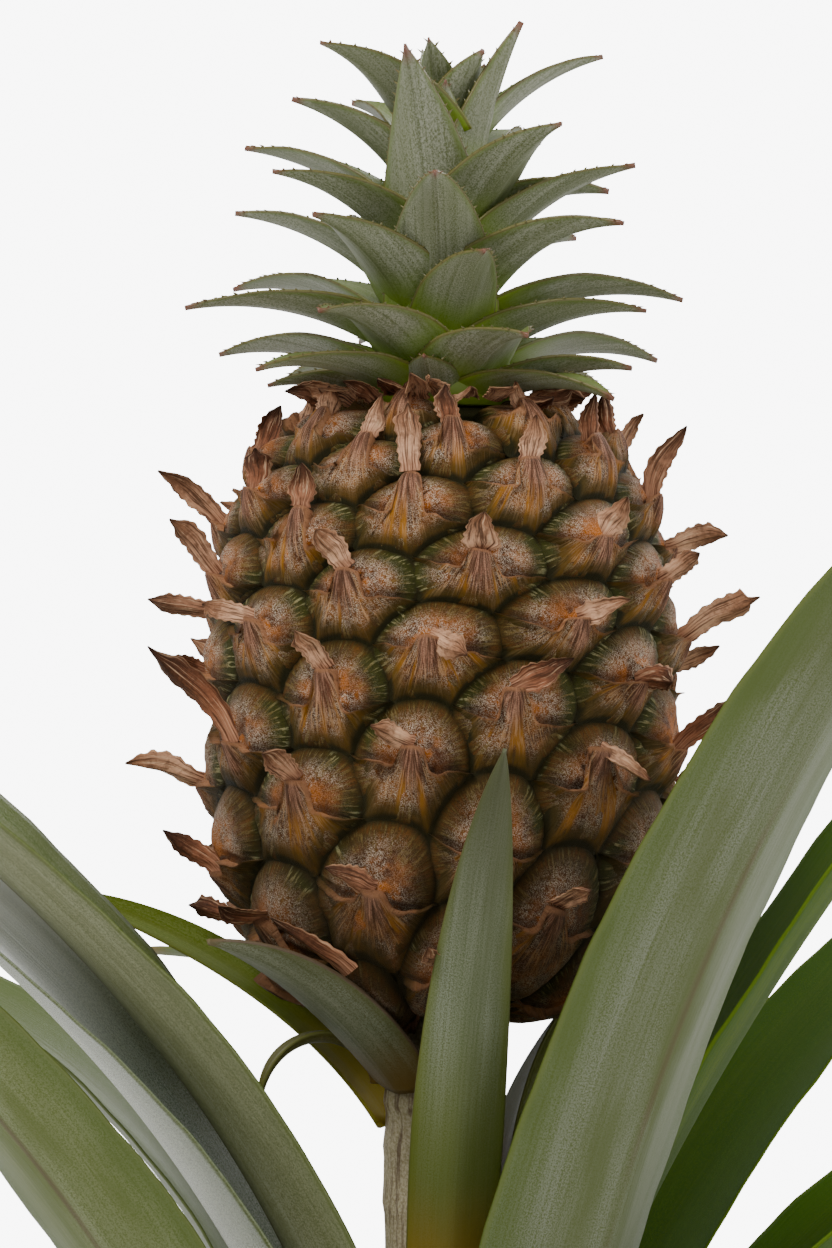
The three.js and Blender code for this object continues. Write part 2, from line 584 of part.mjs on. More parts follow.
function strap(m) {
  const shape = {
    aim: STRAP.aim * draw(m, 31),
    lift: STRAP.lift + 14 * draw(m, 32),
    curl: 26 * draw(m, 33),
    length: STRAP.length + 2.5 * draw(m, 34),
    width: STRAP.width + draw(m, 35),
    ...STRAP_SHAPE[m],
  };
  const root = skinPlace(fruitletCentre(m), 0, neckOf(m));
  const below = FRUIT.base + FRUIT.height - barrelAt("skin", root.skin).height;
  shape.length = Math.min(shape.length, STRAP.topRoom + STRAP.roomPerDrop * below);
  const { slope } = barrelAt("skin", root.skin);
  const out = outward(root.turn);
  const up = out.clone().multiplyScalar(slope.x).setZ(slope.y);
  const normal = out.clone().multiplyScalar(slope.y).setZ(-slope.x);
  const right = sideways(root.turn);
  const heading = up.clone().multiplyScalar(Math.cos(radians(shape.aim)))
    .addScaledVector(right, Math.sin(radians(shape.aim)));
  const across = heading.clone().cross(normal);
  const twist = radians(STRAP.twist) * out.x * Math.abs(out.x);
  const at = skinPoint(root, FRUITLET.dome + FRUITLET.neckRise - STRAP.sink);
  const fine = 20;
  const rings = [];
  for (let i = 0; i <= fine; i += 1) {
    const share = i / fine;
    const lift = radians(shape.lift + shape.curl * share);
    const run = heading.clone().multiplyScalar(Math.cos(lift)).addScaledVector(normal, Math.sin(lift));
    const back = heading.clone().multiplyScalar(-Math.sin(lift)).addScaledVector(normal, Math.cos(lift));
    const station = STRAP.stations.indexOf(i);
    if (station >= 0) {
      const half = [STRAP.neckWidth, shape.width * 0.85, shape.width, STRAP.tipWidth][station] / 2;
      const side = across.clone().multiplyScalar(Math.cos(twist)).addScaledVector(back, Math.sin(twist));
      back.multiplyScalar(Math.cos(twist)).addScaledVector(across, -Math.sin(twist));
      const section = { at, side, face: back, half };
      rings.push([
        sectionPoint(section, 1, 0), sectionPoint(section, -1, 0),
        sectionPoint(section, 0.15, -STRAP.thick * (1 - 0.3 * share)),
      ]);
    }
    at.addScaledVector(run, shape.length / fine);
  }
  return chainSolid(rings);
}

function fruit() {
  let joined = skinSolid();
  for (let m = STRAP.first; m <= STRAP.last; m += 1) joined = joined.add(strap(m));
  return joined;
}

// Assembly
const plant = new THREE.Group();

function place(name, solid, colour, roughness) {
  const material = new THREE.MeshStandardMaterial({ color: colour, roughness, metalness: 0 });
  const mesh = new THREE.Mesh(geometryOf(solid), material);
  mesh.name = name;
  plant.add(mesh);
}

place("pot", pot(), COLOURS.clay, 0.9);
place("soil", soil(), COLOURS.soil, 1);
place("stem", stem(), COLOURS.stem, 0.7);
place("fruit", fruit(), COLOURS.fruit, 0.75);
place("crown", crown(), COLOURS.crown, 0.6);
STALK_LEAVES.forEach((leaf, n) => {
  place(`stalk_leaf_${n + 1}`, longLeaf(leaf, stalkOutline, 8), COLOURS.stalkLeaf, 0.55);
});
rosetteLeaves.forEach((leaf, n) => {
  const name = `leaf_${String(n + 1).padStart(2, "0")}`;
  place(name, longLeaf(leaf, longOutline, ROSETTE.steps), COLOURS.leaf, 0.5);
});

export default plant;
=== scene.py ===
"""Looks of a potted pineapple plant: fruit, crown, stalk, rosette leaves, soil and clay pot.
Lengths are in millimetres until a mesh is made. A turn is an angle round the plant in degrees,
0 towards -Y and 90 towards +X. A lean is an angle away from upright."""
import math
from types import SimpleNamespace as Sizes

import bpy
import numpy as np
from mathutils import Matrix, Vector


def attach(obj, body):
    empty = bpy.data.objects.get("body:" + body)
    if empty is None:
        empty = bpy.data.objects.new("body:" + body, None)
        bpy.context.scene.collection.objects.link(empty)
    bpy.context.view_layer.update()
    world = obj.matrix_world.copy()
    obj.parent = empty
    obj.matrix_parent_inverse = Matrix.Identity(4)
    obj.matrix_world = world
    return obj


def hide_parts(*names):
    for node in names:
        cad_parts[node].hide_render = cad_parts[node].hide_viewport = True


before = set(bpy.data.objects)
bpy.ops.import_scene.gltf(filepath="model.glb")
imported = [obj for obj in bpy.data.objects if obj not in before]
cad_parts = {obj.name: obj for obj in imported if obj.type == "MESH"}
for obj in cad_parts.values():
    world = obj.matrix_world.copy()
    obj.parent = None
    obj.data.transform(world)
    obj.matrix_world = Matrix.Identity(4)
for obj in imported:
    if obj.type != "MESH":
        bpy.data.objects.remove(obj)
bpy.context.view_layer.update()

MM = 0.001
GAP = 0.3
GOLDEN_TURN = 137.6
QUARTER = 90
UP = np.array([0, 0, 1.0])


def named(names, rows):
    """Rows of values as dicts. A row may stop early, and None leaves a value out."""
    return {key: {name: value for name, value in zip(names.split(), row) if value is not None}
            for key, row in rows.items()}


POT = Sizes(height=130, shoulder=103, foot=51, neck=71, rim=75, wall=6, floor=8)
DRAIN = Sizes(holes=4, first=45, radius=4.5, circle=27)
SOIL = Sizes(top=118, mound=3, rings=46, sides=180)
STEM = Sizes(foot=75, foot_radius=14, neck=218, taper=22, neck_radius=11.6, top=321.7,
             top_radius=10.6)

FRUIT = Sizes(base=322, height=112, radius=41.3, squareness=3)
FRUITLET = Sizes(first=-45, last=39, turn=1.3, step=137.596, middle=389.43, per=-1.3505,
                tightening=-0.009, dome=3.0, groove=0.6, neck_rise=1.3, bulge=1.19)
# How far a fruitlet lies off the regular spiral, as a turn and a rise
FRUITLET_SHIFT = {
    -29: (3.9, 0.6), -26: (1.1, -1.2), -21: (-0.8, 0.1), -18: (-2.7, -2.3), -16: (1, -0.6),
    -13: (-3.9, -2.1), -8: (-3.9, 0.2), -5: (-0.6, -2.1), -3: (1.9, -1.7), 0: (-4.7, 1.4), 3: (-3, -1),
    5: (3, -1.7), 8: (-6.1, 0.6), 10: (5, -2.4), 13: (3.1, -0.6), 16: (-4, 0.6), 18: (6, 0.1),
    21: (1.2, -2.3), 26: (4.4, -1.4), 29: (-3, -1.1),
}

STRAP = Sizes(length=10.5, width=5.2, neck=3.4, sink=1.2, lift=58, aim=28, rise=3.5, twist=75,
             first=-43, last=34, top_room=2.6, room_per_drop=0.7, thick=0.4)
# Straps that were set one by one, by fruitlet
STRAP_SHAPE = named("rise aim lift curl length width", {
    -40: (0.2, -10, 25, 20, 9), -36: (0.2, 0, 28, 20, 10), -32: (0.2, -4, 8, 14, 17),
    -29: (5.5, 6, 12, 10, 9), -27: (0.2, 0, 35, 10, 8), -26: (4.6, 20, 14, 16, 9),
    -24: (0.1, 0, 20, 10, 8), -23: (0.1, 4, 32, 34, 20), -21: (6.3, -6, 9, 16, 14),
    -19: (0, -6, 62, 14, 16), -18: (0, 30, 30, 10, 9), -16: (6, 5, 15, 20, 8),
    -15: (-0.3, 8, 88, 8, 12.5), -13: (2.8, 0, 62, -46, 8, 8), -11: (-0.5, -14, 42, 16, 13.5),
    -10: (-0.6, 20, 56, 10, 9), -8: (3.5, -35, 25, 20, 9), -6: (-0.9, 0, 88, -8, 14),
    -5: (1, 72, 34, -14, 10), -3: (3, -75, 30, 0, 11), -2: (-1.2, 4, 60, 8, 17),
    0: (1.2, 118, 36, -20, 9), 2: (-1.6, 0, 70, 10, 8), 3: (-0.7, 40, 75, 30, 8),
    5: (5.2, -30, 20, 16, 9), 8: (4.2, 62, 30, -12, 12), 10: (0, -24, 12, 46, 24, 6),
    11: (-2.6, 8, 44, 8, 15), 13: (3, -65, 32, -10, 9), 15: (-3.1, 6, 68, 8, 16),
    16: (6, 128, 38, -22, 11), 18: (4.2, -22, 34, 40, 9), 21: (2, -20, 30, 6, 9),
    23: (-4.3, -16, 30, 20, 13), 26: (1, -55, 26, -6, 10), 28: (-5.1, 0, 60, -8, 11),
})
# A collar of dry scales under the crown, and a loose scale at the fruit's foot
COLLAR = Sizes(scales=27, member=60, radius=18.5, lift=46, curl=-30, length=9)
LOOSE_SCALE = Sizes(member=90, turn=-28, height=333.5)
LOOSE_SHAPE = dict(aim=-30, lift=8, curl=8, length=19, width=3.4)

CROWN = Sizes(base=434.3, first=-3, last=43, extra=13.1, step=-137.5, sink=2.2, foot=433.9,
             lowest=435.6, per=0.92, quickening=0.0112, bud=40, lean=64, rising=0.85, arch=43,
             length=36, shrinking=0.36, bud_length=10.5, bud_arch=12, width=19, low_width=16,
             low_leaves=4, bud_width=8, thick=1.6, rim=0.4, cup=0.42, member=100, rows=34, columns=11,
             power=1.45, ripple=0.25)
CROWN_CORE = np.array([[13.6, 434.3], [13.6, 438], [11.6, 448], [9, 464], [6.6, 481], [3.6, 496]])
# Crown leaves that were set one by one
CROWN_SHAPE = named("nudge lean length width", {
    -3: (-5, None, 31), -2: (0, (60, 104), 22), 0: (-9, (44, 66), 13, 13), 2: (-16, (57, 100), 27),
    3: (5, (64, 106), 35), 5: (-11, (57, 98), 31), 7: (0, (62, 106), 37),
    8: (-13, (54, 96), 32, 19.5), 11: (0, (59, 102), 41, 19.5), 13: (-1, (44, 86), 31, 16.5),
    13.1: (-1, (14, 80), 41, 22), 14: (0, (55, 97), 42), 15: (0, (60, 105), 38),
    16: (2, (40, 82), 34, 20.5), 18: (0, (50, 95), 40, 19.5), 19: (0, (42, 84), 35),
    21: (-8, (6, 42), 45, 22), 23: (0, (37, 80), 35), 24: (1, (43, 85), 33),
    26: (12, (36, 78), 35, 19.5), 27: (4, (42, 82), 38), 28: (-12, (54, 96), 27),
    29: (0, (4, 24), 25, 18), 31: (8, (8, 28), 34, 17), 32: (-3, (32, 75), 29),
    34: (-2, (14, 26), 17, 12), 36: (14, (33, 75), 34, 15), 37: (-2, (35, 78), 31),
    39: (0, (20, 50), 16, 12),
})
SPINE = Sizes(pitch=2.3, first=0.12, spread=0.86, half_foot=0.45, out=0.85, ahead=0.8)

STALK_LEAVES = named("turn foot lean length width bend swing roll cup", {
    0: (6, 268, (13, 42), 123, 17.5, 0.65, 4, -12, 0.22),
    1: (-39, 309, (45, 80), 64, 17, 1.15, 2, 16, 0.15),
    2: (-118, 300.5, (35, 73.5), 79, 13.5, 0.81, 40, -47, 0.2),
    3: (112, 290, (12, 40), 40, 13, 1.2, -8, -20, 0.2),
    4: (-90, 308.6, (5, 168), 34.5, 7, 0.85, 40, 12, 0.18),
})
STALK_BLADE = Sizes(member=200, foot_share=0.9, rows=60)
ROSETTE = Sizes(leaves=20, turn=158, foot=232, per=5.4, length=290, width=34, lean=(18, 92),
               lean_by_age=(34, 20), bend=1.05, cup=0.38, foot_share=0.68, ripple=0.35)
# Rosette leaves that were set one by one
ROSETTE_SHAPE = named("nudge foot lean length width bend swing roll cup", {
    0: (-13.5, 200, (29, 104), 259, 26, 0.98, 18, 0, 0.3),
    1: (-4, 233, (8, 76), 300, 36.5, 0.7, -4, -29, 0.5),
    2: (21.4, 218.3, (9.3, 50), 290, 32, 0.6, 1, 0),
    3: (-47, 230.5, (13, 91.3), 250, 22, 0.4, 69, 22, 0.3), 4: (-9, 150, (52, 100)),
    5: (3.4, 206.5, (29, 90), 280, 34, 1.3, 0, 0),
    6: (21, 212, (8, 78), 290, 36, 0.82, -7, -48, 0.45),
    7: (5, 188, (9, 60), 312, 41, 1.25, -12, -11, 0.48), 8: (-4, 172.6, (40, 110)),
    9: (-2, 174, (24.5, 75), 295, 33.5, 1.35, 15, 24, 0.33),
    10: (-15, 172, (13, 108), 289, 35.5, 1.21, 13, 20, 0.48),
    11: (16.6, 180, (6, 135), 285, 32, 1.45, 3, 0), 15: (-1.7, 160, (41, 114)),
})
LONG_LEAF = Sizes(thick=2.2, rim=0.55)


def draw(member, series):
    """A repeatable draw between -1 and 1 for one member of a series."""
    value = math.sin(member * 12.9898 + series * 78.233) * 43758.5453
    return 2 * (value - math.floor(value)) - 1


def outward(turn):
    """The horizontal direction at each turn. A quarter turn more gives the direction square to it."""
    angle = np.radians(turn)
    return np.stack([np.sin(angle), -np.cos(angle), np.zeros_like(angle)], -1)


def smooth(low, high, value):
    """0 below low, 1 above high and a smooth step between them."""
    share = np.clip((value - low) / (high - low), 0, 1)
    return share * share * (3 - 2 * share)


def waves(values, member, series, counts=(1, 2, 3, 5)):
    """A smooth wavy line between about -1 and 1, different for each member."""
    total = 0
    for order, count in enumerate(counts):
        phase = math.pi * draw(member, series + 0.37 * order)
        total = total + np.sin(2 * math.pi * count * values + phase) / (order + 1)
    return total / 1.6


# Meshes
def grid_faces(rows, columns, closed=False):
    """Quads of a grid of points laid row by row. A closed grid joins its last column to its first."""
    wide = columns if closed else columns - 1
    k, j = np.meshgrid(np.arange(rows - 1), np.arange(wide), indexing="ij")
    a = k * columns + j
    b = k * columns + (j + 1) % columns
    return np.stack([a, b, b + columns, a + columns], -1).reshape(-1, 4)


def bundle(*values):
    """Values of the points of a grid, side by side."""
    return np.stack(np.broadcast_arrays(*values), -1)


def resample(spots, shares, lines):
    """The points or directions of each line, read off at other shares of its length."""
    return [np.stack([np.interp(spots, shares, line[:, i]) for i in range(3)], -1) for line in lines]


def shell(line, x, top, low):
    """Rings round a thin shell along a line: its top from side to side, then its underside back."""
    at, side, face = (part[:, None] for part in line)
    upper, under = (at + side * x[..., None] + face * y[..., None] for y in (top, low))
    return np.concatenate([upper, under[:, ::-1]], 1)


def cap(columns, start=0):
    """Quads that close an end of such a shell."""
    rows = [(k, k + 1, 2 * columns - 2 - k, 2 * columns - 1 - k) for k in range(columns - 1)]
    return start + np.array(rows)


class Parts:
    """Gathers the pieces of one mesh: points, faces and point values, under the same names each time."""

    def __init__(self):
        self.points, self.faces = [], []
        self.values, self.count = {}, 0

    def add(self, points, faces, **values):
        self.faces += (faces + self.count).tolist()
        self.points.append(np.reshape(points, (-1, 3)))
        self.count += len(self.points[-1])
        for name, value in values.items():
            self.values.setdefault(name, []).append(np.reshape(value, (-1, 3)))

    def build(self, name, look, nodes, slot):
        """Puts the mesh in the scene, in place of CAD nodes where any are given."""
        mesh = bpy.data.meshes.new(name)
        mesh.from_pydata((np.concatenate(self.points) * MM).tolist(), [], self.faces)
        for title, values in self.values.items():
            layer = mesh.attributes.new(title, "FLOAT_VECTOR", "POINT")
            layer.data.foreach_set("vector", np.concatenate(values).astype(np.float32).ravel())
        mesh.shade_smooth()
        mesh.materials.append(look)
        piece = bpy.data.objects.new(name, mesh)
        bpy.context.scene.collection.objects.link(piece)
        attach(piece, "root")
        if nodes:
            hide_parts(*nodes)
        return piece


def lathe(profile, sides):
    """Points and faces of a surface of revolution from rows of radius and height."""
    profile = np.asarray(profile, float)
    turns = np.arange(sides) * 360 / sides
    rings = profile[:, None, :1] * outward(turns)[None]
    rings[..., 2] = profile[:, 1:2]
    return rings, grid_faces(len(profile), sides, closed=True)[:, ::-1]


# Materials
def rgb(*values):
    """A colour given in display values from 0 to 255."""
    shares = [value / 255 for value in values]
    return *(v / 12.92 if v < 0.04045 else ((v + 0.055) / 1.055) ** 2.4 for v in shares), 1.0


class Value:
    """A value in a material. Each sum, difference, product or step of values adds a shader node."""

    def __init__(self, look, socket):
        self.look = look
        self.socket = socket

    def calc(self, operation, *values):
        return self.look.node("ShaderNodeMath", values, operation=operation)

    def __mul__(self, other):
        return self.calc("MULTIPLY", self, other)

    def __add__(self, other):
        return self.calc("ADD", self, other)

    def __sub__(self, other):
        return self.calc("SUBTRACT", self, other)

    def __abs__(self):
        return self.calc("ABSOLUTE", self)

    def step(self, low, high, first=0.0, last=1.0):
        """A smooth step from first at low to last at high."""
        return self.look.node("ShaderNodeMapRange", (self, low, high, first, last),
                              interpolation_type="SMOOTHSTEP")

    def noise(self, scale, detail=2.0, roughness=0.55):
        inputs = {"Vector": self, "Scale": scale, "Detail": detail, "Roughness": roughness}
        return self.look.node("ShaderNodeTexNoise", inputs, "Fac")

    def split(self):
        """The three parts of a vector."""
        return [self.look.node("ShaderNodeSeparateXYZ", (self,), part) for part in range(3)]


class Look:
    """A procedural material. Its colour is built up in coats, and a tuple is a colour for rgb."""

    def __init__(self, name, roughness, specular):
        self.material = bpy.data.materials.new(name)
        self.material.use_nodes = True
        self.tree = self.material.node_tree
        self.shader = self.tree.nodes["Principled BSDF"]
        self.set("Roughness", roughness)
        self.set("Specular IOR Level", specular)

    def put(self, value, socket):
        if isinstance(value, Value):
            self.tree.links.new(value.socket, socket)
        else:
            socket.default_value = rgb(*value) if isinstance(value, tuple) else value

    def set(self, name, value):
        self.put(value, self.shader.inputs[name])

    def node(self, kind, inputs, output=0, **settings):
        """Adds a shader node, fills its inputs by number or name and gives back one output."""
        node = self.tree.nodes.new(kind)
        for name, setting in settings.items():
            setattr(node, name, setting)
        for key, value in inputs.items() if isinstance(inputs, dict) else enumerate(inputs):
            self.put(value, node.inputs[key])
        return Value(self, node.outputs[output])

    def values(self, name):
        """The three numbers that the mesh carries at each point under a name."""
        return self.node("ShaderNodeAttribute", (), "Vector", attribute_name=name).split()

    def place(self):
        """The point's own place in millimetres."""
        point = self.node("ShaderNodeTexCoord", (), "Object")
        return self.node("ShaderNodeVectorMath", {0: point, "Scale": 1000}, operation="SCALE")

    def join(self, x, y, z):
        return self.node("ShaderNodeCombineXYZ", (x, y, z))

    def mix(self, share, first, second):
        return self.node("ShaderNodeMix", {0: share, 6: first, 7: second}, 2, data_type="RGBA")

    def coat(self, share, colour):
        """Lays a colour over the colour so far, as densely as share says."""
        self.colour = self.mix(share, self.colour, colour)

    def done(self, height, distance, strength):
        """Sets the colour and a bump of a height in millimetres, and gives back the material."""
        self.set("Base Color", self.colour)
        bump = {"Height": height, "Distance": distance * MM, "Strength": strength}
        self.set("Normal", self.node("ShaderNodeBump", bump))
        return self.material


def rind_look():
    """The domes of the fruitlets: orange near the neck, patches of pale fuzz, then olive skin with a
    green cushion and short pale lines on each flank."""
    look = Look("rind", 0.6, 0.2)
    reach, angle, pocket = look.values("cell")
    mm = look.place()
    patch = mm.noise(0.22, 3)
    wide = mm.noise(0.13, 2)
    broad = mm.noise(0.09, 1)
    grain = mm.noise(5.6, 3, 0.72)
    speck = mm.noise(1.4, 3, 0.6)
    side = abs(angle)
    streak = look.join(angle * 130, reach * 2.2, patch * 3).noise(1, 2, 0.6)
    look.colour = look.mix(patch.step(0.35, 0.65), (88, 42, 4), (152, 86, 28))
    warm = reach.step(0.66, 0.1) * mm.noise(0.3, 2).step(0.42, 0.56)
    look.coat(warm * 0.9, (212, 118, 14))
    olive = reach.step(0.45, 0.78) * streak.step(0.25, 0.6, 0.6, 1)
    look.coat(olive * 0.85, (68, 56, 6))
    lateral = side.step(0.05, 0.14) * side.step(0.36, 0.28)
    cushion = reach.step(0.62, 0.78) * reach.step(0.97, 0.91) * broad.step(0.47, 0.53)
    look.coat(cushion * lateral * 0.9, (56, 62, 4))
    lines = streak.step(0.53, 0.59) * reach.step(0.76, 0.84) * cushion * (lateral * 0.8 + 0.2)
    look.coat(lines * wide.step(0.4, 0.55, 0.3, 1) * 0.8, (184, 182, 132))
    faint = streak.step(0.5, 0.6) * reach.step(0.4, 0.6) * reach.step(0.95, 0.8)
    look.coat(faint * 0.45, (150, 122, 66))
    fuzz = grain.step(0.48, 0.58) * speck.step(0.34, 0.54) * reach.step(0.88, 0.5)
    look.coat(fuzz * wide.step(0.4, 0.58, 0.25, 1) * 0.9, (220, 204, 180))
    look.coat(grain.step(0.5, 0.4) * 0.6, (36, 20, 4))
    # Painted shade in the hollow pocket beside each neck
    look.coat(pocket * 0.6, (40, 24, 10))
    # Dark green seams between domes, deepened almost to black as painted shade
    look.coat(reach.step(0.85, 0.985, 0, 0.97), (34, 32, 0))
    # Painted shade over the fruit's lower part
    paint_foot_shade(look, mm)
    return look.done(streak * reach.step(0.5, 0.9) * 1.6 + grain, 0.42, 1)


def bract_look():
    """The shield of each fruitlet: a pinkish neck that frays into fibres over speckled fuzz."""
    look = Look("bract", 0.6, 0.2)
    fan, far, down = look.values("fan")
    near, member, right = look.values("rim")
    mm = look.place()
    own = member * 3.7
    aside = abs(right)
    rib = look.join(fan * 4.2, 0, own).noise(1, 1, 0.5)
    fibre = look.join(fan * 12, far * 0.16, own).noise(1, 3, 0.6)
    thread = look.join(fan * 42, far * 0.25, own).noise(1, 2, 0.6)
    grain = mm.noise(5.6, 3, 0.72)
    speck = mm.noise(1.4, 3, 0.6)
    patch = mm.noise(0.22, 2)
    wide = mm.noise(0.13, 2)
    look.colour = look.mix(patch.step(0.35, 0.65), (94, 48, 6), (154, 92, 32))
    look.coat(aside.step(4, 8.5, 0, 0.6), (74, 52, 12))
    fuzz = grain.step(0.48, 0.58) * speck.step(0.34, 0.54) * near.step(1.06, 1.3)
    fuzz = fuzz * rib.step(0.6, 0.48, 0.3, 1) * wide.step(0.38, 0.56, 0.35, 1)
    look.coat(fuzz * 0.9, (218, 200, 172))
    look.coat(grain.step(0.5, 0.4) * 0.6, (36, 22, 6))
    ribs = rib.step(0.5, 0.58) * far.step(3, 6) * fibre.step(0.36, 0.54)
    look.coat(ribs * 0.8, (178, 116, 20))
    look.coat(thread.step(0.54, 0.61) * far.step(17, 4) * 0.85, (206, 160, 112))
    spread = aside + (fibre - 0.5) * 4.2 + (far - 4) * 0.02
    neck = spread.step(2.3, 1.2) * far.step(10, 3)
    skin = look.mix(thread.step(0.36, 0.6), (112, 62, 42), (208, 152, 120))
    skin = look.mix(fibre.step(0.56, 0.38, 0, 0.8), skin, (70, 40, 20))
    skin = look.mix(grain.step(0.52, 0.38, 0, 0.6), skin, (66, 38, 18))
    look.coat(neck * 0.95, skin)
    edge = down.step(0.06, 0.02) * speck.step(0.3, 0.55, 0.4, 1)
    look.coat(edge * 0.85, (182, 126, 86))
    look.coat(near.step(1.34, 1.1, 0, 0.75), (68, 58, 6))
    # Dark green seams between fruitlets, deepened almost to black as painted shade
    look.coat(near.step(1.09, 1, 0, 0.97), (34, 32, 0))
    # Painted shade over the fruit's lower part
    paint_foot_shade(look, mm)
    return look.done(thread * 1.6 + grain, 0.42, 1)


def paint_foot_shade(look, mm):
    """Paints shade over the lower part of the fruit, most at its foot."""
    level = mm.split()[2] + (mm.noise(0.05, 2) - 0.5) * 40
    look.coat(level.step(388, 326, 0, 0.5), (40, 28, 8))


def strap_look():
    """The dry, curled strap that each bract ends in."""
    look = Look("dry_strap", 0.7, 0.2)
    share, across, member = look.values("strap")
    mm = look.place()
    own = look.join(member * 5.31, 0.5, 0.5).noise(1, 0).step(0.4, 0.58)
    fibre = look.join(across * 6, share * 1.6, member * 3.1).noise(1, 3, 0.7)
    grain = mm.noise(1.6, 3, 0.65)
    pale = look.mix(own, (148, 92, 62), (212, 164, 128))
    dark = look.mix(own, (70, 40, 24), (146, 100, 70))
    look.colour = look.mix((share + grain * 0.6).step(0.45, 1.2), pale, dark)
    look.coat(fibre.step(0.52, 0.36, 0, 0.85), (58, 34, 18))
    look.coat(fibre.step(0.56, 0.66, 0, 0.6), (218, 180, 142))
    look.coat(mm.noise(0.5, 3, 0.6).step(0.5, 0.66, 0, 0.5), (84, 50, 30))
    look.coat(abs(across).step(0.86, 0.98, 0, 0.5), (196, 150, 112))
    neck = look.mix(fibre.step(0.36, 0.62), (96, 54, 34), (190, 138, 104))
    look.coat(share.step(0.34, 0.04, 0, 0.85), neck)
    look.coat(share.step(0.88, 1.02, 0, 0.7), (54, 34, 22))
    return look.done(fibre + grain * 0.4, 0.5, 0.9)


def leaf_look(name, tints):
    """A waxy leaf: pale bloom in fine grains along it, rubbed off in patches, over a green blade with
    greener margins, a pale foot and a dry tip. tints gives the colours and how far each one reaches."""
    tint = Sizes(**tints)
    look = Look(name, tint.roughness, tint.specular)
    share, across, face = look.values("blade")
    along, wide, member = look.values("place")
    line = look.join(wide * 2.4, along * 0.03, member * 5.7).noise(1, 2, 0.5)
    speck = look.join(wide * 4.6, along * 2.6, member * 2.3).noise(1, 3, 0.75)
    cloud = look.join(wide * 0.14, along * 0.022, member * 9.1).noise(1, 2)
    shade = look.join(wide * 0.3, along * 0.012, member * 3.3).noise(1, 1)
    side = abs(across)
    drift = cloud - 0.5
    grains = line * tint.line + speck * (1 - tint.line)
    left = cloud.step(0.48, 0.66, 1, 1 - tint.bare)
    outer = look.mix(grains.step(0.38, 0.6) * left, tint.green, tint.bloom)
    # The far half of the inner face may take its own colour; where given, it is a painted sheen
    upper = look.mix(share.step(0.3, 0.62), tint.inner, getattr(tint, "inner_far", tint.inner))
    upper = look.mix(grains.step(0.4, 0.64, 0, 0.4), upper, tint.bloom)
    look.colour = look.mix(face.step(-0.2, 0.2), outer, upper)
    look.coat(shade.step(0.4, 0.62, 0, 0.35), tint.green)
    look.coat((side + drift * 0.35).step(tint.band, 0.97, 0, tint.band_share), tint.inner)
    if tint.keel_share:
        keel = side.step(0.07, 0) * face.step(0.2, -0.2) * cloud.step(0.3, 0.55)
        look.coat(keel * tint.keel_share, tint.keel)
    if tint.low_green:
        look.coat(share.step(tint.low_green, tint.low_green * 0.4, 0, 0.75), tint.inner)
    look.coat((share - drift * 0.12).step(tint.foot_end, 0, 0, 0.9), tint.foot)
    look.coat(side.step(0.96, 0.985, 0, 0.65), tint.margin)
    look.coat((share + drift * 0.12).step(tint.tip_start, 1, 0, 0.9), tint.tip)
    look.set("Roughness", speck.step(0.3, 0.7, tint.roughness - 0.08, tint.roughness + 0.14))
    return look.done(line * 0.6 + speck * 0.6, 0.12, 0.8)


def stem_look():
    look = Look("stem_skin", 0.6, 0.35)
    mm = look.place()
    x, y, z = mm.split()
    streak = look.join(x * 0.9, y * 0.9, z * 0.07).noise(1, 3, 0.6)
    grain = mm.noise(1.8, 3, 0.6)
    look.colour = look.mix(grain.step(0.35, 0.65), (162, 148, 114), (198, 186, 156))
    look.coat(streak.step(0.5, 0.66, 0, 0.75), (92, 64, 50))
    look.coat(z.step(300, 318, 0, 0.6), (104, 84, 58))
    return look.done(streak + grain * 0.3, 0.5, 0.7)


def clay_look():
    look = Look("clay", 0.86, 0.2)
    mm = look.place()
    z = mm.split()[2]
    cloud = mm.noise(0.035, 3, 0.6)
    grain = mm.noise(1.2, 4, 0.7)
    turning = look.join(0, 0, z * 0.9).noise(1, 2)
    look.colour = look.mix(cloud.step(0.35, 0.7), (176, 98, 62), (196, 122, 84))
    look.coat(grain.step(0.5, 0.8, 0, 0.35), (212, 152, 118))
    look.coat(cloud.step(0.55, 0.75) * z.step(60, 0) * 0.4, (222, 198, 176))
    return look.done(grain + turning, 0.12, 0.7)


def soil_look():
    look = Look("soil_crumb", 0.95, 0.1)
    mm = look.place()
    crumb = mm.noise(0.45, 4, 0.7)
    look.colour = look.mix(crumb.step(0.35, 0.65), (30, 21, 15), (74, 54, 39))
    look.coat(mm.noise(0.8, 2).step(0.66, 0.7, 0, 0.8), (150, 134, 112))
    return look.done(crumb, 2, 1)


# Leaf blades
def leaf_frames(leaf, reach, shares):
    """The middle line of a leaf that starts at a reach from the plant's axis, and its directions
    across, along and out of its inner face."""
    fine = 240
    share = np.arange(fine + 1) / fine
    heading = leaf.turn + leaf.swing * share
    angle = np.radians(leaf.lean[0] + (leaf.lean[1] - leaf.lean[0]) * share ** leaf.bend)
    out = outward(heading)
    run = out * np.sin(angle)[:, None] + UP * np.cos(angle)[:, None]
    inner = -out * np.cos(angle)[:, None] + UP * np.sin(angle)[:, None]
    across = outward(heading + QUARTER)
    twist = np.radians(leaf.roll * share)[:, None]
    side = across * np.cos(twist) + np.cross(run, across) * np.sin(twist)
    face = inner * np.cos(twist) + np.cross(run, inner) * np.sin(twist)
    start = outward(leaf.turn) * reach + UP * leaf.foot
    at = start + np.concatenate([[np.zeros(3)], np.cumsum(run, 0)[:-1]]) * leaf.length / fine
    return resample(shares, share, (at, side, run, face))


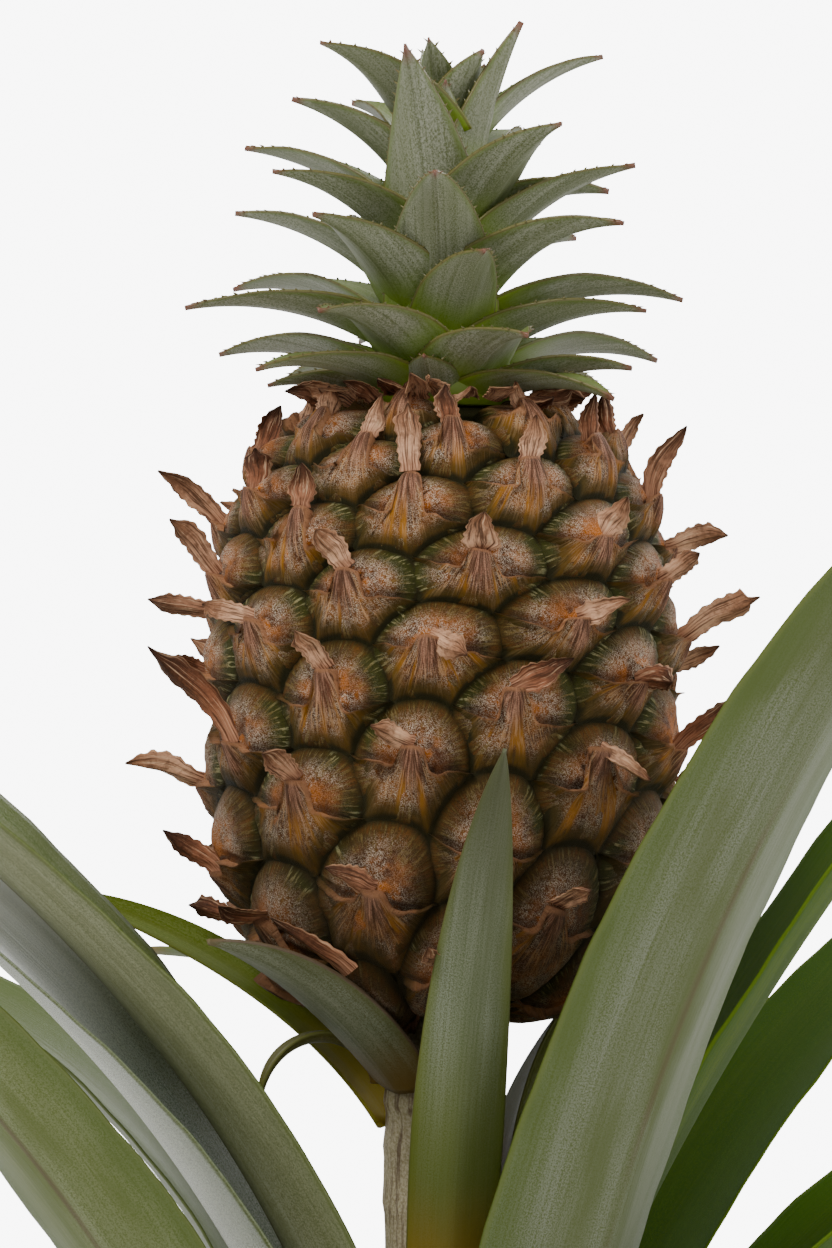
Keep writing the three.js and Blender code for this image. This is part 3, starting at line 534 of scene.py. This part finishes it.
def blade(parts, frames, shares, length, half, cup, thick, rim, member, columns=17, power=1.3,
          ripple=0.0):
    """A thin curved blade with an inner and an outer face. Widths are given for each share."""
    at, side, _, face = frames
    c = np.sin(np.linspace(-0.5, 0.5, columns) * math.pi)
    c = c * 0.6 + np.linspace(-1, 1, columns) * 0.4
    half, cup, thick = (values[:, None] for values in (half, cup, thick))
    lift = cup * abs(c) ** power
    if ripple:
        edge = abs(c) ** 3 * smooth(0.1, 0.4, shares)[:, None]
        for sign in (-1, 1):
            wave = waves(shares * length / 55, member + 0.5 * sign, 41)[:, None]
            lift = lift + ripple * np.where(c * sign > 0, 1, 0) * edge * wave
    body = rim + (thick - rim) * (1 - abs(c) ** 1.6)
    ring = shell((at, side, face), half * c, lift, lift - body)
    across = np.concatenate([c, c[::-1]])
    facing = np.repeat([1.0, -1.0], columns)
    rows, size = ring.shape[:2]
    faces = np.concatenate([grid_faces(rows, size, closed=True), cap(columns)[:, ::-1],
                            cap(columns, (rows - 1) * size)])
    parts.add(ring, faces, blade=bundle(shares[:, None], across, facing),
              place=bundle((shares * length)[:, None], half * across, member))


def outline(share, foot, fullness, taper):
    """Half the width of a leaf over its length, as a share of its greatest half width."""
    return (foot + (1 - foot) * np.minimum(1, share / 0.3)) * (1 - share ** fullness) ** taper


def stem_radius(height):
    return np.interp(height, [STEM.foot, STEM.neck - STEM.taper, STEM.neck, STEM.top],
                     [STEM.foot_radius, STEM.foot_radius, STEM.neck_radius, STEM.top_radius])


def long_leaf(name, leaf, foot_share, look, member, slot, rows=96, ripple=0.0):
    """A leaf of the stalk or the rosette, whose foot clasps the stem."""
    shares = 1 - (1 - np.linspace(0, 1, rows)) ** 1.3
    wedge = leaf.cup * math.cos(math.radians(leaf.lean[0]))
    reach = (stem_radius(leaf.foot) + GAP) * math.hypot(1, wedge)
    frames = leaf_frames(leaf, reach, shares)
    half = np.maximum(0.35, leaf.width / 2 * outline(shares, foot_share, 2.6, 0.85))
    parts = Parts()
    blade(parts, frames, shares, leaf.length, half, half * leaf.cup,
          LONG_LEAF.thick * (1 - 0.5 * shares), LONG_LEAF.rim, member, ripple=ripple)
    return parts.build(f"{name}_blade", look, [name], slot)


def rosette_leaf(n):
    age = n / (ROSETTE.leaves - 1)
    leaf = Sizes(
        foot=ROSETTE.foot - ROSETTE.per * n,
        lean=tuple(lean + ROSETTE.lean_by_age[end] * age + 4 * draw(n, 3 + end)
                   for end, lean in enumerate(ROSETTE.lean)),
        length=ROSETTE.length + 30 * draw(n, 1), width=ROSETTE.width + 1.5 * draw(n, 2),
        bend=ROSETTE.bend, swing=10 * draw(n, 5), roll=8 * draw(n, 6), cup=ROSETTE.cup, nudge=0)
    vars(leaf).update(ROSETTE_SHAPE.get(n, {}))
    leaf.turn = ROSETTE.turn + GOLDEN_TURN * n + leaf.nudge
    return leaf


def crown_leaf(n):
    lean = CROWN.lean - CROWN.rising * n + 4 * draw(n, 11)
    leaf = Sizes(lean=(lean, lean + CROWN.arch), length=CROWN.length - CROWN.shrinking * n,
                 width=CROWN.low_width if n < CROWN.low_leaves else CROWN.width,
                 nudge=0, bend=1.0, swing=0, roll=0)
    if n >= CROWN.bud:
        leaf.lean = (lean, lean + CROWN.bud_arch)
        leaf.length = CROWN.bud_length + 2 * draw(n, 13)
        leaf.width = CROWN.bud_width
    vars(leaf).update(CROWN_SHAPE.get(n, {}))
    leaf.foot = max(CROWN.lowest, CROWN.foot + CROWN.per * n + CROWN.quickening * n * n)
    leaf.turn = CROWN.step * n + leaf.nudge
    return leaf


def spines(parts, frames, shares, length, half, cup, member):
    """Small hooked spines along both margins of a crown leaf."""
    count = int(length * 0.9 / SPINE.pitch)
    for sign in (-1, 1):
        for k in range(count):
            own = k + 60 * member
            step = (k + 0.5 + 0.25 * draw(own, 51 + sign)) / count
            share = SPINE.first + SPINE.spread * step
            size = (0.75 + 0.3 * draw(own, 55 + sign)) * (0.6 + 0.6 * share)
            at, side, run, face = resample(share, shares, frames)
            wide = np.interp(share, shares, half) - 0.12
            lift = np.interp(share, shares, cup) - 0.15
            root = at + side * sign * wide + face * lift
            foot = run * SPINE.half_foot * size
            tip = side * sign * SPINE.out + run * SPINE.ahead + face * 0.2
            points = [root - foot, root + foot, root + face * 0.22, root - face * 0.3, root + tip * size]
            faces = np.array([[0, 2, 4], [2, 1, 4], [1, 3, 4], [3, 0, 4]])[:, ::sign]
            parts.add(points, faces, blade=[[share, 1, -1]] * 4 + [[1, 1, -1]], place=np.zeros((5, 3)))


def crown(look):
    parts = Parts()
    profile = [(0.01, CROWN.base), *CROWN_CORE.tolist(), (0.01, CROWN_CORE[-1, 1] + 1)]
    rings, faces = lathe(profile, 32)
    plain = np.zeros_like(rings)
    parts.add(rings, faces, blade=plain, place=plain)
    for n in (*range(CROWN.first, CROWN.last + 1), CROWN.extra):
        leaf = crown_leaf(n)
        reach = np.interp(leaf.foot, CROWN_CORE[:, 1], CROWN_CORE[:, 0]) - CROWN.sink
        shares = np.linspace(0, 1, CROWN.rows)
        frames = leaf_frames(leaf, reach, shares)
        half = np.maximum(0.2, leaf.width / 2 * 1.04 * outline(shares, 0.95, 1.5, 1.0))
        cup = half * CROWN.cup
        blade(parts, frames, shares, leaf.length, half, cup, CROWN.thick * (1 - 0.5 * shares),
              CROWN.rim, n + CROWN.member, CROWN.columns, CROWN.power, CROWN.ripple)
        spines(parts, frames, shares, leaf.length, half, cup, n)
    return parts.build("crown_leaves", look, ["crown"], "crown")


# Fruit
def barrel_table():
    """Radius, height, distance along the skin and slope of the fruit's barrel."""
    steps = 1200
    angle = np.pi * (np.arange(steps + 1) / steps - 0.5)
    power = 2 / FRUIT.squareness
    half = FRUIT.height / 2
    radius = FRUIT.radius * np.maximum(0, np.cos(angle)) ** power
    height = FRUIT.base + half + half * np.sign(np.sin(angle)) * abs(np.sin(angle)) ** power
    run = np.hypot(np.diff(radius), np.diff(height))
    skin = np.concatenate([[0], np.cumsum(run)])
    middle = (skin[1:] + skin[:-1]) / 2
    slopes = np.stack([np.diff(radius), np.diff(height)], -1) / np.maximum(run, 1e-9)[:, None]
    return radius, height, skin, middle, slopes


RADIUS, HEIGHT, SKIN, MIDDLE, SLOPES = barrel_table()
SKIN_LENGTH = SKIN[-1]
# How sharply the corners of a fruitlet's cell are drawn
ROUND_CELL, SOFT_CELL, SHARP_CELL = 3.5, 9.0, 40.0


def slope_at(skin):
    slope = np.stack([np.interp(skin, MIDDLE, SLOPES[:, i]) for i in range(2)], -1)
    return slope / np.linalg.norm(slope, axis=-1, keepdims=True)


def skin_point(turn, skin, rise):
    """A point at a turn and a distance along the skin, raised off it."""
    radius, height = np.interp(skin, SKIN, RADIUS), np.interp(skin, SKIN, HEIGHT)
    slope = slope_at(skin)
    point = outward(turn) * (radius + rise * slope[..., 1])[..., None]
    point[..., 2] = height - rise * slope[..., 0]
    return point


def fruitlet_centre(m):
    """A fruitlet's turn and its distance along the skin."""
    turn, rise = FRUITLET_SHIFT.get(m, (0, 0))
    height = FRUITLET.middle + FRUITLET.per * m + FRUITLET.tightening * m * m + rise
    return FRUITLET.turn + FRUITLET.step * m + turn, np.interp(height, HEIGHT, SKIN)


def on_skin(centre, right, up, rise):
    """A point off a fruitlet's centre by a distance to the right and one upwards."""
    skin = np.clip(centre[1] + up, 3, SKIN_LENGTH - 3)
    radius = np.maximum(4, np.interp(skin, SKIN, RADIUS))
    return skin_point(centre[0] + np.degrees(right / radius), skin, rise)


def neighbour(m, other):
    """How far to the right of a fruitlet, and above it, another one lies."""
    centre, far = fruitlet_centre(m), fruitlet_centre(other)
    around = (far[0] - centre[0] + 180) % 360 - 180
    radius = np.interp((centre[1] + far[1]) / 2, SKIN, RADIUS)
    return np.array([math.radians(around) * radius, far[1] - centre[1]])


def corners(m):
    """The six corners of a fruitlet, clockwise from the top one. Three fruitlets meet at each."""
    around = np.array([neighbour(m, m + step) for step in (-8, -13, -5, 8, 13, 5)])
    return (around + np.roll(around, -1, 0)) / 3


def reach_of(shape, right, up, sharpness=SOFT_CELL):
    """How near to its cell's edge a point is: 0 at the centre and 1 at a softly rounded edge."""
    total = 0
    for first, second in zip(shape, np.roll(shape, -1, 0)):
        along = second - first
        normal = np.array([along[1], -along[0]])
        normal = normal / np.linalg.norm(normal)
        away = normal @ first
        if away < 0:
            normal, away = -normal, -away
        total = total + np.maximum(0, (normal[0] * right + normal[1] * up) / max(away, 1.0)) ** sharpness
    return total ** (1 / sharpness)


def dome_reach(shape, right, up):
    """How near to a dome's edge a point is. A dome bulges over the shields of its upper neighbours."""
    bulging = reach_of(shape, right, up, ROUND_CELL) / FRUITLET.bulge
    low = smooth(-0.1, -0.6, up / np.maximum(1e-6, np.hypot(right, up)))
    return bulging * (1 - low) + reach_of(shape, right, up) * low


def pillow(reach):
    """How far a dome stands off the skin."""
    depth = FRUITLET.dome + FRUITLET.groove
    return -FRUITLET.groove + depth * np.maximum(0, 1 - np.minimum(reach, 1) ** 2.3) ** 0.7


def neck_of(m):
    """How far above a fruitlet's centre its strap starts."""
    return STRAP_SHAPE.get(m, {}).get("rise", STRAP.rise)


def margin_of(m, shape, across):
    """The upper edge of a bract's shield, which rises to the neck, sags beside it and ends in the
    side corners."""
    share = abs(across)
    edge = np.where(across[:, None] < 0, shape[5], shape[2]) * share[:, None]
    sag = (1.3 + 0.6 * draw(m, 64)) * np.sin(math.pi * share ** 0.7) * smooth(0.1, 0.3, share)
    wave = 0.6 * waves(across * 0.8, m, 65) * np.sin(math.pi * share)
    edge[:, 1] += neck_of(m) * smooth(0.27, 0.15, share) - sag + wave
    return edge


def dome(parts, m):
    """The whole cell of one fruitlet, as rings round its centre."""
    centre, shape = fruitlet_centre(m), corners(m)
    front = math.cos(math.radians(centre[0])) > -0.1
    columns = 100 if front else 50
    angle = np.arange(columns + 1) / columns - 0.5
    x, y = np.sin(2 * math.pi * angle), np.cos(2 * math.pi * angle)
    edge = 1 / dome_reach(shape, x, y)
    reach = np.array([0.02, 0.18, 0.34, 0.5, 0.62, 0.72, 0.8, 0.86, 0.91, 0.95, 0.98, 1.02])
    right = reach[:, None] * edge * x
    up = reach[:, None] * edge * y
    rise = pillow(reach)[:, None] + np.zeros_like(right)
    lump = 0.7 * np.sin(right * 0.5 + 2 * draw(m, 61)) * np.sin(up * 0.45 + 2 * draw(m, 62))
    rise = rise + lump * (1 - reach[:, None] ** 2)
    sides = smooth(0.04, 0.14, abs(angle)) * smooth(0.36, 0.28, abs(angle))
    band = smooth(0.5, 0.72, reach) * smooth(1.0, 0.9, reach)
    if front:
        ridges = np.sin(2 * math.pi * angle * 37 + 1.6 * waves(angle, m, 63))
        rise = rise + 0.16 * band[:, None] * (sides * ridges)[None]
    line = margin_of(m, shape, np.linspace(-1, 1, 61))
    order = np.argsort(line[:, 0])
    above = up - np.interp(right, line[order, 0], line[order, 1])
    inside = smooth(1.0, 0.7, reach)[:, None]
    pocket = np.exp(-((above - 0.4) / 1.2) ** 2) * smooth(1.4, 2.6, abs(right)) * inside
    rise = rise - (0.7 + 0.35 * draw(m, 67)) * pocket
    points = on_skin(centre, right, up, rise)
    parts.add(points, grid_faces(len(reach), columns + 1), cell=bundle(reach[:, None], angle, pocket))


def bract(parts, m):
    """The shield below a fruitlet's neck. It stands a little proud of the dome."""
    centre, shape = fruitlet_centre(m), corners(m)
    across = np.linspace(-1, 1, 61)
    across = np.sign(across) * abs(across) ** 1.25
    share = abs(across)
    down = np.array([-0.04, 0, 0.03, 0.08, 0.15, 0.24, 0.34, 0.45, 0.56, 0.67, 0.77, 0.86, 0.94, 1.0])
    margin = margin_of(m, shape, across)
    # The bottom edge follows the cell from one side corner round to the other
    angles = [math.atan2(x, -y) for x, y in shape[[5, 4, 3, 2]]]
    angle = np.interp(across, np.linspace(-1, 1, 4), angles)
    direction = np.stack([np.sin(angle), -np.cos(angle)], -1)
    bottom = 1.04 * direction / reach_of(shape, *direction.T, SHARP_CELL)[:, None]
    mix = np.clip(down, 0, None)[:, None, None]
    spot = margin[None] * (1 - mix) + bottom[None] * mix
    right, up = spot[..., 0], spot[..., 1]
    reach = reach_of(shape, right, up, SHARP_CELL)
    neck = neck_of(m)
    far = np.hypot(right, up - neck)
    fan = np.arctan2(right, neck + 2.5 - up)
    flutter = 1 + 0.7 * waves(across * 1.2, m, 71, (1, 2, 4, 7))
    curl = (0.9 + 0.4 * draw(m, 68)) * flutter * np.exp(-mix[..., 0] / 0.05) * smooth(0.14, 0.3, share)
    own_dome = pillow(dome_reach(shape, right, up)) + 0.3
    flat = -0.35 + (FRUITLET.dome + 0.5) * np.maximum(0, 1 - np.minimum(reach, 1) ** 2) ** 0.8
    rise = np.maximum(flat, own_dome * smooth(0.5, 0.1, mix[..., 0]))
    rise = rise + 0.35 * smooth(1.0, 0.6, reach) + curl
    strip = np.exp(-(right / 1.9) ** 4)
    crest = FRUITLET.neck_rise + 0.5 * smooth(neck - 4, neck, up)
    rise = rise + crest * strip * smooth(neck - 10, neck - 2, up)
    ribs = np.sin(fan * 13 + 3 * draw(m, 66)) + 0.6 * np.sin(fan * 29 + 2 * draw(m, 69))
    rise = rise + 0.2 * ribs * smooth(1.0, 0.7, reach) * smooth(2.0, 5.0, far)
    rise[0] = np.minimum(rise[1], pillow(dome_reach(shape, right[0], up[0]))) - 0.4
    points = on_skin(centre, right, up, rise)
    near = np.full(right.shape, 9.0)
    for other in (m + 8, m + 13, m + 5):
        away = neighbour(m, other)
        near = np.minimum(near, dome_reach(corners(other), right - away[0], up - away[1]))
    parts.add(points, grid_faces(len(down), len(across))[:, ::-1],
              fan=bundle(fan, far, down[:, None]), rim=bundle(near, m, right))


def strap(parts, m, root=None, **given):
    """The curled dry strap that leaves a fruitlet's neck, or another root on the skin."""
    shape = Sizes(aim=STRAP.aim * draw(m, 31), lift=STRAP.lift + 14 * draw(m, 32),
                  curl=26 * draw(m, 33), length=STRAP.length + 2.5 * draw(m, 34),
                  width=STRAP.width + draw(m, 35))
    vars(shape).update(given or STRAP_SHAPE.get(m, {}))
    if root:
        turn, skin = root
        length = shape.length
    else:
        turn, skin = fruitlet_centre(m)
        skin += neck_of(m)
        below = FRUIT.base + FRUIT.height - np.interp(skin, SKIN, HEIGHT)
        length = min(shape.length, STRAP.top_room + STRAP.room_per_drop * below)
    slope = slope_at(skin)
    out = outward(turn)
    up = out * slope[0] + UP * slope[1]
    normal = out * slope[1] - UP * slope[0]
    aim = math.radians(shape.aim)
    heading = up * math.cos(aim) + outward(turn + QUARTER) * math.sin(aim)
    across = np.cross(heading, normal)
    fine = 80
    share = np.arange(fine + 1) / fine
    lift = np.radians(shape.lift + shape.curl * share + 9 * waves(share * 0.8, m, 71))[:, None]
    run = heading * np.cos(lift) + normal * np.sin(lift)
    back = -heading * np.sin(lift) + normal * np.cos(lift)
    start = skin_point(turn, skin, FRUITLET.dome + FRUITLET.neck_rise - STRAP.sink)
    at = start + np.concatenate([[np.zeros(3)], np.cumsum(run, 0)[:-1]]) * length / fine
    at = at + across * (0.5 * waves(share * 0.7, m, 72) * share)[:, None]
    rows = np.linspace(0, 1, 26)
    at, run, back = resample(rows, share, (at, run, back))
    side = np.cross(run, back)
    side = -side if side[0] @ across < 0 else side
    fixed = math.radians(STRAP.twist) * out[0] * abs(out[0])
    twist = (fixed + math.radians(30) * draw(m, 73) * smooth(0.1, 1, rows))[:, None]
    side, back = (side * np.cos(twist) + back * np.sin(twist),
                  back * np.cos(twist) - side * np.sin(twist))
    broad = 0.45 + 0.2 * draw(m, 79)
    width = np.interp(rows, [0, 0.12, broad, broad + 0.2, 0.86, 1],
                      [STRAP.neck * 1.1, STRAP.neck * 1.05, shape.width, shape.width * 0.95,
                       shape.width * (0.5 + 0.16 * draw(m, 74)), 0.3])
    cupped = 1 if draw(m, 76) > -0.5 else -1
    bendy = (0.3 + 0.7 * smooth(0.05, 0.6, rows) + 0.25 * draw(m, 75))[:, None]
    c = np.linspace(-1, 1, 11)
    ragged = 1 + 0.09 * np.sin(rows[:, None] * 41 + 5 * draw(m, 77) + np.sign(c) * 2) * abs(c) ** 4
    half = width[:, None] / 2 * ragged
    x = half * np.sin(bendy * c) / bendy
    y = -half * (1 - np.cos(bendy * c)) / bendy * cupped
    y = y + 0.16 * np.sin(c * 7 + 4 * draw(m, 78))[None] * smooth(0, 0.3, rows)[:, None]
    y = y - (0.25 + 0.2 * draw(m, 80)) * half * abs(c) * smooth(0.1, 0.5, rows)[:, None]
    body = STRAP.thick * (1 - 0.45 * rows[:, None]) * (1 - 0.6 * abs(c) ** 3)
    ring = shell((at, side, back), x, y, y - body)
    size = ring.shape[1]
    faces = np.concatenate([grid_faces(len(rows), size, closed=True),
                            cap(len(c), (len(rows) - 1) * size)])[:, ::-1]
    parts.add(ring, faces, strap=bundle(rows[:, None], np.concatenate([c, c[::-1]]), m))


def fruit(rind, shield, dry):
    core = Parts()
    rows, columns = 60, 96
    turns, skins = np.meshgrid(np.arange(columns) * 360 / columns,
                               np.linspace(0.02, SKIN_LENGTH - 0.02, rows))
    # The core lies under the domes, and rises at the top to close the gap to the crown
    rise = -1.0 + 1.25 * smooth(SKIN_LENGTH - 19, SKIN_LENGTH - 13, skins)
    core.add(skin_point(turns, skins, rise), grid_faces(rows, columns, closed=True),
             cell=bundle(np.ones_like(rise), 0.0, 0.0))
    core.build("fruit_core", rind, [], "fruit")
    eyes, shields, straps = Parts(), Parts(), Parts()
    for m in range(FRUITLET.first, FRUITLET.last + 1):
        dome(eyes, m)
        bract(shields, m)
        if STRAP.first <= m <= STRAP.last:
            strap(straps, m)
    for k in range(COLLAR.scales):
        member = COLLAR.member + k
        turn = 360 * (k + 0.3 * draw(member, 91)) / COLLAR.scales
        skin = SKIN_LENGTH - COLLAR.radius - 2 * draw(member, 92)
        strap(straps, member, (turn, skin), aim=180 + 16 * draw(member, 93),
              lift=COLLAR.lift + 12 * draw(member, 94), curl=COLLAR.curl,
              length=COLLAR.length + 1.5 * draw(member, 95))
    skin = np.interp(LOOSE_SCALE.height, HEIGHT, SKIN)
    strap(straps, LOOSE_SCALE.member, (LOOSE_SCALE.turn, skin), **LOOSE_SHAPE)
    eyes.build("fruit_domes", rind, ["fruit"], "fruit")
    shields.build("fruit_bracts", shield, [], "fruit")
    straps.build("fruit_straps", dry, [], "fruit")


# Stem, soil and pot
def stem(look):
    """The stem, with a faint scar under each stalk leaf."""
    rows, columns = 120, 64
    heights = np.linspace(STEM.foot, STEM.top, rows)
    radius = stem_radius(heights)
    radius[0] -= 1
    turns = np.arange(columns) * 360 / columns
    swell = 1 + 0.02 * np.sin(heights[:, None] * 0.21 + np.radians(turns) * 2)
    scar = np.zeros_like(heights)
    for leaf in STALK_LEAVES.values():
        scar += 0.35 * np.exp(-((heights - leaf["foot"] + 3) / 1.6) ** 2)
    rings = outward(turns)[None] * (radius[:, None] * swell * 0.985 + scar[:, None])[..., None]
    rings[..., 2] = heights[:, None]
    parts = Parts()
    parts.add(rings, grid_faces(rows, columns, closed=True))
    parts.faces.append(list(range(columns))[::-1])
    parts.faces.append([(rows - 1) * columns + k for k in range(columns)])
    parts.build("stem_smooth", look, ["stem"], "stem")


def pot_radius(height):
    """The outside radius of the pot's wall under its rim."""
    return POT.foot + (POT.neck - POT.foot) * height / POT.shoulder


def soil(look):
    widening = (POT.rim - POT.neck) * (SOIL.top - POT.shoulder) / (POT.height - POT.shoulder)
    hole = STEM.foot_radius + 2 * GAP
    low = pot_radius(POT.floor) - POT.wall - 2 * GAP
    wide = POT.neck - POT.wall - 2 * GAP
    spread = np.linspace(wide + widening, hole, SOIL.rings)
    mound = SOIL.top + SOIL.mound * np.sin(math.pi * np.linspace(0, 0.83, SOIL.rings)) ** 0.8
    under = [(0.01, POT.floor + GAP), (low, POT.floor + GAP), (wide, POT.shoulder)]
    profile = [*under, *zip(spread, mound), (hole, STEM.foot - GAP), (0.01, STEM.foot - GAP)]
    rings, faces = lathe(profile, SOIL.sides)
    turns = np.arange(SOIL.sides) * 2 * math.pi / SOIL.sides
    loose = slice(len(under) + 1, len(under) + SOIL.rings - 1)
    x, y = spread[1:-1, None] * np.sin(turns), spread[1:-1, None] * np.cos(turns)
    bumps = np.sin(x * 1.3 + 2 * np.sin(y * 0.7)) * np.sin(y * 1.1 + 2 * np.sin(x * 0.9))
    rings[loose, :, 2] += 0.55 * bumps + 0.35 * np.sin(x * 3.1 + y * 2.3) * np.sin(y * 2.9 - x)
    parts = Parts()
    parts.add(rings, faces)
    parts.build("soil_crumbs", look, ["soil"], "soil")


def pot(look):
    shoulder, rim, top, inner = POT.shoulder, POT.rim, POT.height, POT.rim - POT.wall
    profile = [(0.01, 0), (POT.foot - 1.2, 0), (POT.foot - 0.3, 0.4), (POT.foot, 1.4)]
    profile += [(pot_radius(z), z) for z in np.linspace(4, shoulder - 0.6, 12)]
    profile += [(POT.neck + 0.5, shoulder), (rim - 1.9, shoulder + 0.9), (rim - 1.4, shoulder + 1.9),
                (rim - 0.7, (shoulder + top) / 2), (rim, top - 2.4), (rim - 0.3, top - 0.8),
                (rim - 1.3, top - 0.1), (inner + 1.2, top), (inner + 0.3, top - 0.6), (inner, top - 1.8)]
    profile += [(POT.neck - POT.wall, shoulder), (pot_radius(POT.floor) - POT.wall, POT.floor),
                (0.01, POT.floor)]
    rings, faces = lathe(profile, 128)
    parts = Parts()
    parts.add(rings, faces)
    turned = parts.build("pot_turned", look, ["pot"], "pot")
    for k in range(DRAIN.holes):
        x, y, _ = outward(DRAIN.first + 360.0 * k / DRAIN.holes) * DRAIN.circle * MM
        bpy.ops.mesh.primitive_cylinder_add(vertices=32, radius=DRAIN.radius * MM, depth=0.03,
                                            location=(x, y, 0.004))
        cutter = bpy.context.object
        cut = turned.modifiers.new("drain", "BOOLEAN")
        cut.operation = "DIFFERENCE"
        cut.solver = "EXACT"
        cut.object = cutter
        bpy.context.view_layer.update()
        graph = bpy.context.evaluated_depsgraph_get()
        holed = bpy.data.meshes.new_from_object(turned.evaluated_get(graph))
        turned.modifiers.clear()
        turned.data = holed
        bpy.data.objects.remove(cutter)


# Leaf colours, and how far each one reaches
LEAF_TINTS = dict(
    green=(80, 90, 34), bloom=(122, 127, 106), inner=(72, 90, 6), margin=(88, 98, 34), foot=(150, 140, 70),
    tip=(112, 82, 46), keel=(84, 62, 34), keel_share=0.5, bare=0.7, band=0.5, band_share=0.6, line=0.24,
    foot_end=0.14, tip_start=0.96, low_green=0.0, roughness=0.4, specular=0.45)
CROWN_TINTS = dict(
    LEAF_TINTS, green=(92, 99, 56), bloom=(158, 159, 140), inner=(92, 108, 30), margin=(96, 78, 32),
    foot=(124, 150, 16), tip=(112, 62, 44), bare=0.4, keel=(76, 80, 40), keel_share=0.3, band=0.78,
    band_share=0.7, foot_end=0.38, tip_start=0.9, roughness=0.38, specular=0.55)
ROSETTE_TINTS = dict(
    plain=dict(),
    # A greener copy of the leaf colours with less bloom, darkened as painted shade for the leaves at the
    # back
    deep_shaded=dict(green=(60, 84, 8), bloom=(92, 110, 34), inner=(52, 84, 0), margin=(90, 112, 10), bare=0.9,
              keel_share=0.3, roughness=0.6, specular=0.14),
    # A copy of the leaf colours with more bloom, lightened as painted light for a leaf that faces away
    # from the lamps
    high=dict(green=(114, 119, 76), bloom=(164, 165, 134), inner=(70, 92, 0), bare=0.25, band_share=0.15,
              band=0.8),
    # A copy of the leaf colours lightened as painted light, with a painted sheen of near white on the far
    # half of the inner face
    lit_sheen=dict(green=(116, 122, 88), bloom=(180, 184, 162), inner=(62, 84, 44), inner_far=(246, 248, 246),
                bare=0.4, band_share=0.2, roughness=0.26, specular=0.9),
    low=dict(green=(88, 100, 36), bloom=(128, 135, 96), bare=0.55, keel_share=0.7))
ROSETTE_KIND = {0: "deep_shaded", 1: "high", 2: "deep_shaded", 5: "deep_shaded", 6: "lit_sheen", 8: "deep_shaded", 9: "low", 10: "deep_shaded",
                13: "deep_shaded"}
STALK_TINTS = dict(
    LEAF_TINTS, margin=(96, 98, 40), foot=(112, 84, 30), tip=(92, 78, 48), foot_end=0.3, tip_start=0.94,
    keel_share=0.0, band=0.66, roughness=0.5, specular=0.3)
STALK_OWN = [
    dict(green=(88, 98, 58), bloom=(142, 147, 126), inner=(94, 104, 22), bare=0.35, low_green=0.55,
         foot=(146, 112, 20), foot_end=0.26, tip=(66, 68, 38), tip_start=0.45),
    dict(green=(82, 86, 52), bloom=(136, 138, 118), inner=(84, 86, 40), bare=0.4, margin=(92, 64, 56)),
    dict(green=(84, 92, 10), bloom=(128, 138, 80), inner=(76, 90, 0), bare=0.8, foot=(180, 156, 0),
         foot_end=0.42, roughness=0.6, specular=0.1),
    dict(green=(66, 68, 6), bloom=(98, 98, 44), inner=(60, 66, 0), bare=0.9),
    dict(green=(70, 66, 20), bloom=(112, 104, 62), inner=(78, 78, 14), bare=0.6),
]


def leaves():
    crown(leaf_look("crown_leaf", CROWN_TINTS))
    for n, leaf in STALK_LEAVES.items():
        name = f"stalk_leaf_{n + 1}"
        look = leaf_look(name, dict(STALK_TINTS, **STALK_OWN[n]))
        long_leaf(name, Sizes(**leaf), STALK_BLADE.foot_share, look, STALK_BLADE.member + n,
                  "stalk_leaf", STALK_BLADE.rows)
    looks = {kind: leaf_look(f"{kind}_leaf", dict(LEAF_TINTS, **own))
             for kind, own in ROSETTE_TINTS.items()}
    for n in range(ROSETTE.leaves):
        look = looks[ROSETTE_KIND.get(n, "plain")]
        long_leaf(f"leaf_{n + 1:02d}", rosette_leaf(n), ROSETTE.foot_share, look, n, "leaf",
                  ripple=ROSETTE.ripple)


# Studio
def studio():
    """A white surround that is brighter to the camera than to the plant, a floor, lamps and camera."""
    scene = bpy.context.scene
    world = bpy.data.worlds.new("studio")
    scene.world = world
    world.use_nodes = True
    tree = world.node_tree
    background = tree.nodes["Background"]
    background.inputs["Color"].default_value = rgb(246, 246, 246)
    seen = tree.nodes.new("ShaderNodeLightPath")
    strength = tree.nodes.new("ShaderNodeMapRange")
    strength.inputs["To Min"].default_value = 0.95
    strength.inputs["To Max"].default_value = 9.0
    tree.links.new(seen.outputs["Is Camera Ray"], strength.inputs["Value"])
    tree.links.new(strength.outputs[0], background.inputs["Strength"])
    bpy.ops.mesh.primitive_circle_add(vertices=96, radius=1.4, fill_type="NGON", location=(0, 0, -0.0005))
    floor = bpy.context.object
    floor.name = "floor"
    pale = Look("pale_floor", 0.9, 0.1)
    pale.set("Base Color", (236, 236, 236))
    floor.data.materials.append(pale.material)
    for name, place, aim, size, power in (
            ("key", (-0.75, -0.75, 1.6), (0, 0, 0.38), 0.6, 20),
            ("back", (0.7, 0.9, 1.3), (0, 0, 0.42), 0.7, 9),
            ("fill", (1.3, -0.3, 0.75), (0, 0, 0.38), 0.9, 6)):
        data = bpy.data.lights.new(name, "AREA")
        data.size = size
        data.energy = power
        lamp = bpy.data.objects.new(name, data)
        scene.collection.objects.link(lamp)
        away = np.array(place) - np.array(aim)
        lamp.location = place
        lamp.rotation_mode = "QUATERNION"
        lamp.rotation_quaternion = Vector(away).to_track_quat("Z", "Y")
    camera_data = bpy.data.cameras.new("camera")
    camera_data.sensor_width = 36
    camera_data.lens = 116.07
    camera = bpy.data.objects.new("camera", camera_data)
    camera.location = (-0.00485, -0.75, 0.394)
    camera.rotation_euler = (math.radians(90), 0, 0)
    scene.collection.objects.link(camera)
    scene.camera = camera


fruit(rind_look(), bract_look(), strap_look())
leaves()
stem(stem_look())
soil(soil_look())
pot(clay_look())
studio()
